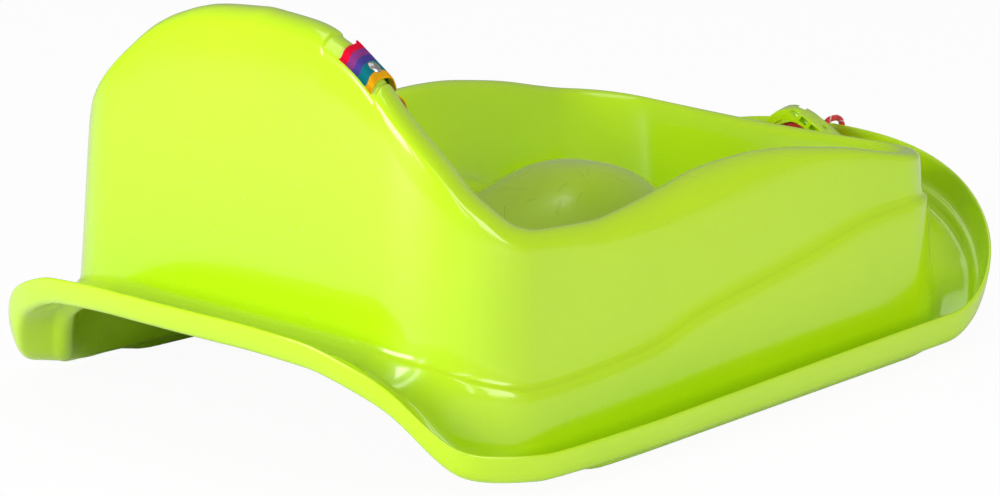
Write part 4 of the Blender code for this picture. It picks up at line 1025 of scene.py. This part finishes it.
def oval(turn, inset):
    """Point on an oval with round ends; turn counts loops, inset narrows it evenly."""
    radius = COIL_WIDTH / 2 - ROPE / 2 - inset
    straight = (COIL_LENGTH - COIL_WIDTH) / 2
    t = (turn % 1.0) * 24
    if t < 9:
        a = math.pi * t / 9 - math.pi / 2
        return straight + radius * math.cos(a), radius * math.sin(a)
    if t < 12:
        return straight - (t - 9) / 3 * 2 * straight, radius
    if t < 21:
        a = math.pi * (t - 12) / 9 + math.pi / 2
        return -straight + radius * math.cos(a), radius * math.sin(a)
    return -straight + (t - 21) / 3 * 2 * straight, -radius


# The rope's route, in mm from the deck at the bow's tip: over the bow's edge, to
# the coil and to the handle; the stretch under the grip is in mm in the handle's own frame
LIP_LOOP_ROUTE = [(0, 9.3, 19.5), (0, 6.6, 19.5), (0, 2, 19.5), (0, -2, 19.6), (0.4, -5, 21.4),
                  (0.6, -6.4, 27), (0.4, -5, 32.4), (0.2, -1, 35.6), (-0.2, 4, 36.6), (-0.6, 9.6, 36.6),
                  (-1, 14, 36.2), (-1, 15.8, 34.4), (-1, 15.8, 31.9)]
KNOT_PLACE = (-1, 15.8, 24)
TO_COIL_ROUTE = [(-1, 15.8, 16.1), (-1, 15.9, 14.4), (-0.2, 16.6, 12.2), (2.4, 18.4, 9.6), (6, 20.4, 7),
                 (10.6, 22.6, 4.5), (15.4, 24.4, 3.1)]
TO_HANDLE_ROUTE = [(41.5, 26.7, 18.8), (46.5, 32, 20), (48.3, 39, 21.8), (45.5, 46.5, 24),
                   (39.5, 53, 26.5), (31, 57.5, 29), (22.5, 61, 32)]
UNDER_GRIP_ROUTE = [(-31, 0, -30), (-26.5, 0, -23), (-22, 0, -16.6), (-16, 0, -13.4), (-10, 0, -13.9),
                    (-4.8, 0, -16.4), (-1.2, 0, -15.4)]


def from_tip(route):
    """A route's points in space, given in mm from the deck at the bow's tip."""
    return [BOW_TIP + Vector(point) * mm for point in route]


def coil_points():
    """The piled coil: each layer winds in or out, and climbs where the winding turns back."""
    pitch = ROPE + COIL_GAP
    turns = COIL_LAYERS * COIL_TURNS_PER_LAYER
    base = BOW_TIP.z + ROPE / 2 + 2 * GAP
    points = []
    for k in range(24 * turns + 1):
        turn = k / 24
        phase = turn / COIL_TURNS_PER_LAYER
        layer = math.floor(phase)
        inset = abs(phase - 2 * round(phase / 2)) * COIL_TURNS_PER_LAYER * pitch
        nearest = round(phase)
        height = layer
        if 0 < nearest < COIL_LAYERS:
            away = (phase - nearest) * COIL_TURNS_PER_LAYER
            if abs(away) < 0.25:
                height = nearest - 1 + ease(away / 0.5 + 0.5)
        height = min(height, COIL_LAYERS - 1)
        x, y = oval(turn, inset)
        points.append(Vector((COIL_PLACE[0] + x, COIL_PLACE[1] + y, base + height * pitch)))
    run = Vector((ROPE, 0, 0))
    return [points[0] - run] + points + [points[-1] + run]


def handle_frame():
    """Frame at the middle of the handle's top line, with X from its left end to its right."""
    left, right = from_tip([(3, 57.5, 61.8), (-54, 37.5, 18.8)])
    return local_frame((left + right) / 2, right - left, (0, 0, 1))


coil = coil_points()
grip = handle_frame()
run = Vector((ROPE, 0, 0))
over_bow = square_ended(from_tip(LIP_LOOP_ROUTE))
first = coil[0] - Vector((GAP, 0, 0))
to_coil = square_ended(from_tip(TO_COIL_ROUTE) + [first - run, first])
last = coil[-1] + Vector((GAP, 0, 0))
under_grip = [Vector(point) * mm for point in UNDER_GRIP_ROUTE]
into_bar = [Vector((0, 0, -HANDLE_BAR - 1.2 * ROPE)), Vector((0, 0, -HANDLE_BAR / 2))]
to_handle = square_ended([last, last + run] + from_tip(TO_HANDLE_ROUTE)
                         + [grip @ point for point in under_grip + into_bar])
bow_to_coil = over_bow + to_coil + coil
print("points on the rope:", len(bow_to_coil), "and", len(to_handle))

# %% Rope tubes
def resampled(points, spacing):
    """The same line with points evenly spaced along it."""
    line = np.array([tuple(p) for p in points])
    steps = np.concatenate([[0.0], np.cumsum(np.linalg.norm(np.diff(line, axis=0), axis=1))])
    places = np.linspace(0, steps[-1], max(2, round(steps[-1] / spacing)) + 1)
    return [Vector(tuple(np.interp(s, steps, line[:, k]) for k in range(3))) for s in places]


def swept_rope(name, points, radius, sides=14):
    """Tube along points with a UV map: millimetres along it, 0 to 1 round it."""
    mesh = bmesh.new()
    sheet = mesh.loops.layers.uv.new("UVMap")
    tangents = [(points[min(i + 1, len(points) - 1)] - points[max(i - 1, 0)]).normalized()
                for i in range(len(points))]
    side = tangents[0].orthogonal().normalized()
    rings, distances = [], [0.0]
    for i, (point, tangent) in enumerate(zip(points, tangents)):
        side = (side - tangent * side.dot(tangent)).normalized()
        other = tangent.cross(side)
        rings.append([mesh.verts.new(point + (side * math.cos(2 * math.pi * k / sides)
                                              + other * math.sin(2 * math.pi * k / sides)) * radius)
                      for k in range(sides)])
        if i:
            distances.append(distances[-1] + (point - points[i - 1]).length / mm)
    for i in range(len(rings) - 1):
        for k in range(sides):
            n = (k + 1) % sides
            face = mesh.faces.new((rings[i][k], rings[i][n], rings[i + 1][n], rings[i + 1][k]))
            corners = ((i, k), (i, k + 1), (i + 1, k + 1), (i + 1, k))
            for corner, (ring, turn) in zip(face.loops, corners):
                corner[sheet].uv = (distances[ring], turn / sides)
    mesh.faces.new(rings[0][::-1])
    mesh.faces.new(rings[-1])
    bmesh.ops.recalc_face_normals(mesh, faces=mesh.faces)
    return show(name, mesh, red_braid)


def length_of(points):
    return sum((b - a).length for a, b in zip(points, points[1:]))


BOW_ROPE_STEP = 1.6 * mm
HANDLE_ROPE_STEP = 1.2 * mm
bow_line = resampled(bow_to_coil, BOW_ROPE_STEP)
handle_line = resampled(to_handle, HANDLE_ROPE_STEP)
bow_rope = swept_rope("rope_to_coil_and_coil", bow_line, ROPE / 2)
handle_rope = swept_rope("rope_up_to_handle", handle_line, ROPE / 2)
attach(bow_rope, "sled")
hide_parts("rope_lip_loop", "rope_to_coil", "rope_coil")
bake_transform(handle_rope)
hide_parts("rope_to_handle")
print("rope lengths, m:", round(length_of(bow_line), 3), round(length_of(handle_line), 3))

# %% [markdown]
# The stopper knot is a barrel knot. The rope winds three close turns round its own standing part,
# with one turn slanting across the others, and the turns press flat where they touch. A plain
# bulge would read as a bead, so the knot is a swept tube of its own along that winding.

# %% Stopper knot
KNOT_TURNS = 2.75
KNOT_HALF_HEIGHT = 4.6
CROSSING_TURNS = 0.62
CROSSING_RADIUS = 4.1
CROSSING_DROP = 8.6


def on_turn(radius, turn, rise):
    return Vector((radius * math.cos(2 * math.pi * turn), radius * math.sin(2 * math.pi * turn), rise))


def knot_line():
    """The close turns from the bottom up, then the one that slants back down over them."""
    middle = from_tip([KNOT_PLACE])[0]
    wound = []
    for k in range(97):
        rise = -KNOT_HALF_HEIGHT + 2 * KNOT_HALF_HEIGHT * (k / 96)
        swell = 3.75 + 0.25 * math.sin(math.pi * k / 96)
        wound.append(on_turn(swell, k / 96 * KNOT_TURNS, rise))
    for k in range(1, 25):
        wound.append(on_turn(CROSSING_RADIUS, KNOT_TURNS + k / 24 * CROSSING_TURNS,
                             KNOT_HALF_HEIGHT - CROSSING_DROP * k / 24))
    return [middle + point * mm for point in wound]


KNOT_STEP = 1 * mm
KNOT_ROPE_RADIUS = 2.1 * mm
knot = swept_rope("stopper_knot", resampled(knot_line(), KNOT_STEP), KNOT_ROPE_RADIUS)
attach(knot, "sled")
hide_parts("rope_knot")
print("knot faces:", len(knot.data.polygons))

# %% [markdown]
# The belt is flat webbing 35 mm wide. Cloth simulation would only blur it, so its route is modelled
# directly: down over the rim in its recess, free of the wall, through the adjuster and round the
# buckle's bar. Rows of the route are smoothed along the strap and bowed a little across it, and the
# edges are thinned to a selvedge. The UV map runs in millimetres so that the stripes keep their place.

# %% Belt routes
def ribbon_rows(path, side=1.0):
    """Faces of a webbing ribbon; path holds (centre, width direction) for each row."""
    half = WEBBING_WIDTH / 2
    centres = [Vector(centre) for centre, width in path]
    lower, upper = [], []
    for i, centre in enumerate(centres):
        tangent = centres[min(i + 1, len(path) - 1)] - centres[max(i - 1, 0)]
        width = Vector(path[i][1])
        width = (width - tangent * (width.dot(tangent) / tangent.length_squared)).normalized()
        normal = tangent.cross(width).normalized() * side
        row = [centre + width * half * share for share in (-1, 0, 1)]
        lower.append([point - normal * WEBBING_THICKNESS / 2 for point in row])
        upper.append([point + normal * WEBBING_THICKNESS / 2 for point in row])
    return lower, upper


# The belt's route, from the foot of the body's rear at seat height. It hangs free from STRAIGHT_TOP
# to STRAIGHT_END, and the points of ONTO_SEAT are in mm.
SEAT_BACK = Vector((0, BODY_REAR_Y, SEAT_HEIGHT))
STRAIGHT_TOP = SEAT_BACK + Vector((29 * mm - BELT_CENTRE_X, -64 * mm, 129.5 * mm))
STRAIGHT_END = SEAT_BACK + Vector((-18, -115, 49)) * mm
STRAIGHT_WIDTH = Vector((-0.72, -0.35, -0.42))
BUCKLE_START = SEAT_BACK + Vector((48 * mm, -166 * mm, BUCKLE_HEIGHT / 2 + 1 * mm))
BUCKLE_DIRECTION = Vector((0.849, -0.529, 0.0))
BELT_TAIL = 18 * mm
ANCHOR_Y = BODY_REAR_Y - 236 * mm
ONTO_SEAT = [(-6, -125.5, 31), (3.5, -133, 19), (14, -141, 12), (28, -151, 9.8)]


def belt_on_rim():
    """The belt's rows that lie in the recess over the rim, as lower and upper faces."""
    columns = [rear_p(BELT_CENTRE_X + share * BELT_HALF_SPAN) for share in (-1, 0, 1)]
    rise = (rim_height(columns[0]) - rim_height(columns[2])) / (2 * BELT_HALF_SPAN)
    stretch = math.hypot(1.0, rise)
    lower, upper = [], []
    sheets = []
    for lift in (GAP, GAP + WEBBING_THICKNESS):
        sheets.append([shell_rows(p, -1, lift * stretch) for p in columns])
    for k in range(18, 23):
        lower.append([Vector(column[k]) for column in sheets[0]])
        upper.append([Vector(column[k]) for column in sheets[1]])
    return lower, upper


def buckle_frame():
    return local_frame(BUCKLE_START, BUCKLE_DIRECTION, (0, 0, 1))


def loop_round_bar(bar_u, away):
    """Webbing round a buckle's bar, from above it to below it; away is the way it leaves."""
    radius = BUCKLE_BAR[1] / 2 + SLIDE_FIT + 0.4 * mm + WEBBING_THICKNESS / 2
    frame = buckle_frame()
    points = []
    for k in range(7):
        a = math.pi * k / 6
        points.append(frame @ Vector((bar_u - away * radius * math.sin(a), 0, radius * math.cos(a))))
    points.append(frame @ Vector((bar_u + away * BELT_TAIL, 0, -radius)))
    return points


def seat_wall(p):
    """Top and foot of the flat stretch of the left seat wall at p."""
    rows = shell_rows(p, 1)
    return Vector(rows[24]), Vector(rows[25])


def anchor_wall():
    """Middle of the left seat wall at the belt's anchor, and its normal into the seat."""
    stations = [2.05 + 0.6 * k / 119 for k in range(120)]
    p = min(stations, key=lambda q: abs(sum(seat_wall(q), Vector()).y / 2 - ANCHOR_Y))
    high, low = seat_wall(p)
    before, after = seat_wall(p - 0.06), seat_wall(p + 0.06)
    normal = (sum(after, Vector()) - sum(before, Vector())).cross(high - low).normalized()
    if normal.x > 0:
        normal = -normal
    return (high + low) / 2, normal


def upper_strap_rows():
    lower, upper = belt_on_rim()
    width = Vector(lower[-1][2]) - Vector(lower[-1][0])
    arch = width.normalized()
    frame = buckle_frame()
    across = frame.to_3x3() @ Vector((0, -1, 0))
    bar_centre = BUCKLE_BAR[0] / 2
    loop = loop_round_bar(bar_centre, -1)
    crest = (lower[-1][1] + upper[-1][1]) / 2
    twist = STRAIGHT_WIDTH.normalized()
    path = [
        (crest, arch),
        (crest + Vector((3, -7, -2)) * mm, arch.lerp(twist, 0.12)),
        (crest + Vector((8, -14, -7.5)) * mm, arch.lerp(twist, 0.35)),
        (crest + Vector((14, -20, -15.5)) * mm, arch.lerp(twist, 0.62)),
        (crest + Vector((21, -25.5, -25.5)) * mm, arch.lerp(twist, 0.88)),
        (STRAIGHT_TOP, twist),
        (STRAIGHT_TOP.lerp(STRAIGHT_END, 0.5), twist),
        (STRAIGHT_END, twist),
    ]
    for point, share in zip(ONTO_SEAT, (0.35, 0.7, 1, 1)):
        path.append((SEAT_BACK + Vector(point) * mm, twist.lerp(across, share)))
    path += [(point, across) for point in loop]
    low, high = ribbon_rows(path)
    if (high[2][1] - low[2][1]).z < 0:
        low, high = high, low
    return lower + low[1:], upper + high[1:]


def lower_strap_rows(bar_u):
    frame = buckle_frame()
    across = frame.to_3x3() @ Vector((0, -1, 0))
    loop = loop_round_bar(bar_u, 1)
    start = loop[0]
    wall, inward = anchor_wall()
    rise = Vector((inward.z, 0, -inward.x)).normalized()
    on_sheet = wall + inward * (WEBBING_THICKNESS / 2 + 4 * GAP)
    foot = on_sheet - rise * ((on_sheet.z - SEAT_HEIGHT - 22 * mm) / rise.z)
    fold = [Vector((start.x, 0, start.z)), Vector((start.x + 8 * mm, 0, start.z - 1 * mm)),
            Vector((foot.x - 36 * mm, 0, SEAT_HEIGHT + 7 * mm)),
            Vector((foot.x - 24 * mm, 0, SEAT_HEIGHT + 8.5 * mm)),
            Vector((foot.x - 11 * mm, 0, SEAT_HEIGHT + 14 * mm)), Vector((foot.x, 0, foot.z)),
            Vector((foot.x, 0, foot.z)) + Vector((rise.x, 0, rise.z)) * 60 * mm]
    lengths = [0.0]
    for a, b in zip(fold, fold[1:]):
        lengths.append(lengths[-1] + (b - a).length)

    def folded(flat_x, y):
        s = flat_x - start.x
        k = max(i for i in range(len(fold) - 1) if lengths[i] <= max(s, 0.0))
        point = fold[k].lerp(fold[k + 1], (s - lengths[k]) / (lengths[k + 1] - lengths[k]))
        on_wall = ease((s - lengths[3]) / (lengths[5] - lengths[3]))
        return Vector((point.x - inward.y / inward.x * (y - wall.y) * on_wall, y, point.z))

    along = BUCKLE_DIRECTION.normalized()
    total = (lengths[5] + 23 * mm) / along.x
    lower, upper = ribbon_rows([(point, across) for point in reversed(loop)])
    if (upper[-1][1] - lower[-1][1]).z < 0:
        lower, upper = upper, lower
    rows = 12
    for i in range(1, rows + 1):
        sheet = []
        for share in (-1, 0, 1):
            flat = start + along * total * i / rows + across * WEBBING_WIDTH / 2 * share
            point = folded(flat.x, flat.y)
            ahead = folded(flat.x + 1 * mm, flat.y) - folded(flat.x - 1 * mm, flat.y)
            normal = Vector((-ahead.z, 0, ahead.x)).normalized() * WEBBING_THICKNESS / 2
            sheet.append((point, normal))
        lower.append([point - normal for point, normal in sheet])
        upper.append([point + normal for point, normal in sheet])
    return lower, upper


print("belt hangs from", [round(v / mm) for v in STRAIGHT_TOP], "mm")

# %% Webbing strips
def webbing_strip(name, lower, upper, fine, across=12):
    """Closed strip of webbing between three-point rows, with thin selvedges and a UV map."""
    middles = [curved([(lo[j] + up[j]) / 2 for lo, up in zip(lower, upper)], fine) for j in range(3)]
    thicks = [curved([(up[j] - lo[j]) / 2 for lo, up in zip(lower, upper)], fine) for j in range(3)]
    rows, distances = [], [0.0]
    for i in range(len(middles[0])):
        faces = [[], []]
        for k in range(across + 1):
            c = 2 * k / across - 1
            weights = (c * (c - 1) / 2, 1 - c * c, c * (c + 1) / 2)
            middle = sum((middles[j][i] * weights[j] for j in range(3)), Vector())
            thick = sum((thicks[j][i] * weights[j] for j in range(3)), Vector())
            thick *= 1 - 0.45 * abs(c) ** 14
            faces[0].append(middle - thick)
            faces[1].append(middle + thick)
        rows.append(faces[0] + faces[1][::-1])
        if i:
            distances.append(distances[-1] + (middles[1][i] - middles[1][i - 1]).length / mm)
    mesh = bmesh.new()
    sheet = mesh.loops.layers.uv.new("UVMap")
    rings = [[mesh.verts.new(point) for point in row] for row in rows]
    round_it = len(rings[0])

    def share(k):
        k = k % round_it
        return (k if k <= across else 2 * across + 1 - k) / across

    for i in range(len(rings) - 1):
        for k in range(round_it):
            n = (k + 1) % round_it
            face = mesh.faces.new((rings[i][k], rings[i][n], rings[i + 1][n], rings[i + 1][k]))
            corners = ((i, k), (i, n), (i + 1, n), (i + 1, k))
            for corner, (row, turn) in zip(face.loops, corners):
                corner[sheet].uv = (distances[row], share(turn))
    for i, end in ((0, rings[0]), (len(rings) - 1, rings[-1])):
        for k in range(across):
            face = mesh.faces.new((end[k], end[k + 1], end[round_it - 2 - k], end[round_it - 1 - k]))
            for corner in face.loops:
                corner[sheet].uv = (distances[i], (k + 0.5) / across)
    bmesh.ops.recalc_face_normals(mesh, faces=mesh.faces)
    made = show(name, mesh, webbing)
    made.data.set_sharp_from_angle(angle=math.radians(55))
    return made, middles


upper_low, upper_high = upper_strap_rows()
shoulder = webbing_strip("shoulder_webbing", upper_low, upper_high, 6)[0]
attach(shoulder, "sled")
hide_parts("belt_upper_strap")
print("shoulder webbing faces:", len(shoulder.data.polygons))

# %% Lap webbing
TONGUE_BAR_U = SOCKET_LENGTH + TONGUE_LENGTH - BUCKLE_BAR[0] / 2
lower_low, lower_high = lower_strap_rows(TONGUE_BAR_U)
lap, lap_lines = webbing_strip("lap_webbing", lower_low, lower_high, 5)
ROWS_ON_WALL = 26
tongue_end = lap_lines[1][0]
wall_foot = lap_lines[1][-ROWS_ON_WALL]
bend_start = tongue_end + (wall_foot - tongue_end) * 0.3
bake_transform(lap)
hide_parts("belt_lower_strap")
wall_end = lap_lines[1][-1]
print("lap webbing from", [round(v / mm) for v in tongue_end], "to", [round(v / mm) for v in wall_end])

# %% [markdown]
# Each fold of the webbing is sewn with short bar stitches in a light thread. Stitches repeat along
# a line, so Geometry Nodes lay them: a seam line is resampled at the stitch pitch, a small thread
# capsule is set on each point and turned along the line, and the copies are made real.

# %% Stitching tree
def stitch_tree(thread_look):
    tree = bpy.data.node_groups.new("stitch_row", "GeometryNodeTree")
    face = tree.interface
    face.new_socket("Seam", in_out="INPUT", socket_type="NodeSocketGeometry")
    for label, value in (("Pitch", 2.4 * mm), ("Stitch length", 1.7 * mm), ("Thread radius", 0.32 * mm)):
        face.new_socket(label, in_out="INPUT", socket_type="NodeSocketFloat").default_value = value
    face.new_socket("Stitches", in_out="OUTPUT", socket_type="NodeSocketGeometry")
    into = tree.nodes.new("NodeGroupInput")
    out = tree.nodes.new("NodeGroupOutput")

    def add(kind, values, **settings):
        made = tree.nodes.new(kind)
        for key, value in settings.items():
            setattr(made, key, value)
        for key, value in values.items():
            if isinstance(value, bpy.types.NodeSocket):
                tree.links.new(value, made.inputs[key])
            else:
                made.inputs[key].default_value = value
        return made

    seam = add("GeometryNodeMeshToCurve", {"Mesh": into.outputs["Seam"]})
    dots = add("GeometryNodeCurveToPoints", {"Curve": seam.outputs[0], "Length": into.outputs["Pitch"]},
               mode="LENGTH")
    ball = add("GeometryNodeMeshUVSphere", {"Segments": 8, "Rings": 6, "Radius": 1.0})
    half = add("ShaderNodeMath", {0: into.outputs["Stitch length"], 1: 0.5}, operation="MULTIPLY")
    thick = into.outputs["Thread radius"]
    size = add("ShaderNodeCombineXYZ", {"X": thick, "Y": thick, "Z": half.outputs[0]})
    laid = add("GeometryNodeInstanceOnPoints",
               {"Points": dots.outputs["Points"], "Instance": ball.outputs["Mesh"],
                "Rotation": dots.outputs["Rotation"], "Scale": size.outputs[0]})
    real = add("GeometryNodeRealizeInstances", {"Geometry": laid.outputs[0]})
    done = add("GeometryNodeSetMaterial", {"Geometry": real.outputs[0], "Material": thread_look})
    tree.links.new(done.outputs[0], out.inputs[0])
    return tree


def thread_finish():
    thread = Finish("sewing_thread", (0.72, 0.66, 0.72), 0.7)
    where = thread.place()
    ply = (thread.part(where, 2) * 9000 + thread.part(where, 0) * 6000).of("SINE")
    # Painted shade: the thread is darker in the grooves between its plies and lighter on their crowns,
    # following the ply wave.
    thread.set("Base Color", thread.mix(ply * 0.5 + 0.5, (0.50, 0.44, 0.55), (0.82, 0.78, 0.82)))
    thread.bump(ply, 0.00005)
    return thread.material


sewing_thread = thread_finish()
stitch_row = stitch_tree(sewing_thread)
print("stitch tree nodes:", len(stitch_row.nodes))

# %% Seams
def strip_point(lower, upper, row, across, lift):
    """Point on the upper face of a strap's rows at a fractional row and -1 to 1 across."""
    i = min(int(row), len(lower) - 2)
    t = row - i
    weights = (across * (across - 1) / 2, 1 - across * across, across * (across + 1) / 2)
    low = sum((lower[i][j].lerp(lower[i + 1][j], t) * weights[j] for j in range(3)), Vector())
    high = sum((upper[i][j].lerp(upper[i + 1][j], t) * weights[j] for j in range(3)), Vector())
    out = (high - low).normalized()
    return high + out * lift


STITCH_PITCH = 2.5 * mm
STITCH_LENGTH = 1.9 * mm
THREAD_LIFT = 0.15 * mm
SEAM_HALF_WIDTH = 0.72


def sewn(name, lines, body, ends=None):
    """Stitches along each line of points, as one plain mesh."""
    mesh = bmesh.new()
    for line in lines:
        dots = [mesh.verts.new(point) for point in line]
        for a, b in zip(dots, dots[1:]):
            mesh.edges.new((a, b))
    piece = show(name, mesh, sewing_thread, smooth=False)
    step = piece.modifiers.new("stitches", "NODES")
    step.node_group = stitch_row
    inputs = [item for item in stitch_row.interface.items_tree if item.in_out == "INPUT"]
    sockets = {item.name: item.identifier for item in inputs}
    step[sockets["Pitch"]] = STITCH_PITCH
    step[sockets["Stitch length"]] = STITCH_LENGTH
    settle(piece)
    piece.data.shade_smooth()
    if ends:
        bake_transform(piece)
    else:
        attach(piece, body)
    return piece


def box_seam(lower, upper, start, end, wide, lift):
    """A box with a cross, as harness sewing has, on a stretch of a strap."""
    def line(a, b, steps=8):
        return [strip_point(lower, upper, a[0] + (b[0] - a[0]) * k / steps,
                            a[1] + (b[1] - a[1]) * k / steps, lift) for k in range(steps + 1)]
    corners = [(start, -wide), (start, wide), (end, wide), (end, -wide)]
    lines = [line(a, b) for a, b in zip(corners, corners[1:] + corners[:1])]
    return lines + [line(corners[0], corners[2]), line(corners[1], corners[3])]


rows_up = len(upper_low)
buckle_sewing = sewn("shoulder_stitches",
                     box_seam(upper_low, upper_high, rows_up - 11.6, rows_up - 9.2,
                              SEAM_HALF_WIDTH, THREAD_LIFT), "sled")
lap_sewing = sewn("lap_stitches",
                  box_seam(lower_low, lower_high, 8.4, 9.6, SEAM_HALF_WIDTH, THREAD_LIFT), "tongue",
                  ("tongue", "sled", tuple(bend_start), tuple(wall_foot)))
print("stitched seams:", buckle_sewing.name, lap_sewing.name)

# %% [markdown]
# The buckle, the adjuster and the pull handle have their right shape in the frame already. Moulded
# plastic has no knife edges, so each is shown as a copy with its small edges rounded: the loose
# triangles are merged, flat faces are joined, and a Bevel modifier rounds the corners that are left.

# %% Rounded hardware
def rounded_copy(name, node, body, look, radius):
    mesh = bmesh.new()
    mesh.from_mesh(frame["nodes"][node].data)
    bmesh.ops.remove_doubles(mesh, verts=mesh.verts, dist=0.00001)
    bmesh.ops.dissolve_limit(mesh, angle_limit=math.radians(2), verts=mesh.verts, edges=mesh.edges)
    made = show(name, mesh, look)
    soft = made.modifiers.new("rounded", "BEVEL")
    soft.width = radius
    soft.segments = 2
    soft.limit_method = "ANGLE"
    soft.angle_limit = math.radians(38)
    soft.harden_normals = False
    settle(made)
    made.data.shade_smooth()
    made.data.set_sharp_from_angle(angle=math.radians(42))
    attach(made, body)
    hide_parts(node)
    return made


pull = rounded_copy("grip_handle", "pull_handle", "handle", handle_lime, 0.7 * mm)
socket = rounded_copy("buckle_body", "buckle_socket", "sled", black_acetal, 0.4 * mm)
tongue = rounded_copy("buckle_clip", "buckle_tongue", "tongue", black_acetal, 0.35 * mm)
slide = rounded_copy("strap_slide", "belt_adjuster", "adjuster", black_acetal, 0.35 * mm)
print("hardware pieces:", [o.name for o in (pull, socket, tongue, slide)])

# %% [markdown]
# The rivets and washers are turned parts whose shape is right as it is, so they stay and only take
# the plated finish, through their own material slots.

# %% Rivets and washers
for node in ("upper_rivet", "upper_washer", "lower_rivet", "lower_washer"):
    piece = frame["nodes"][node]
    if not piece.data.materials:
        piece.data.materials.append(plated_steel)
    for slot in piece.material_slots:
        slot.link = "OBJECT"
        slot.material = plated_steel
print("steel pieces: 4")
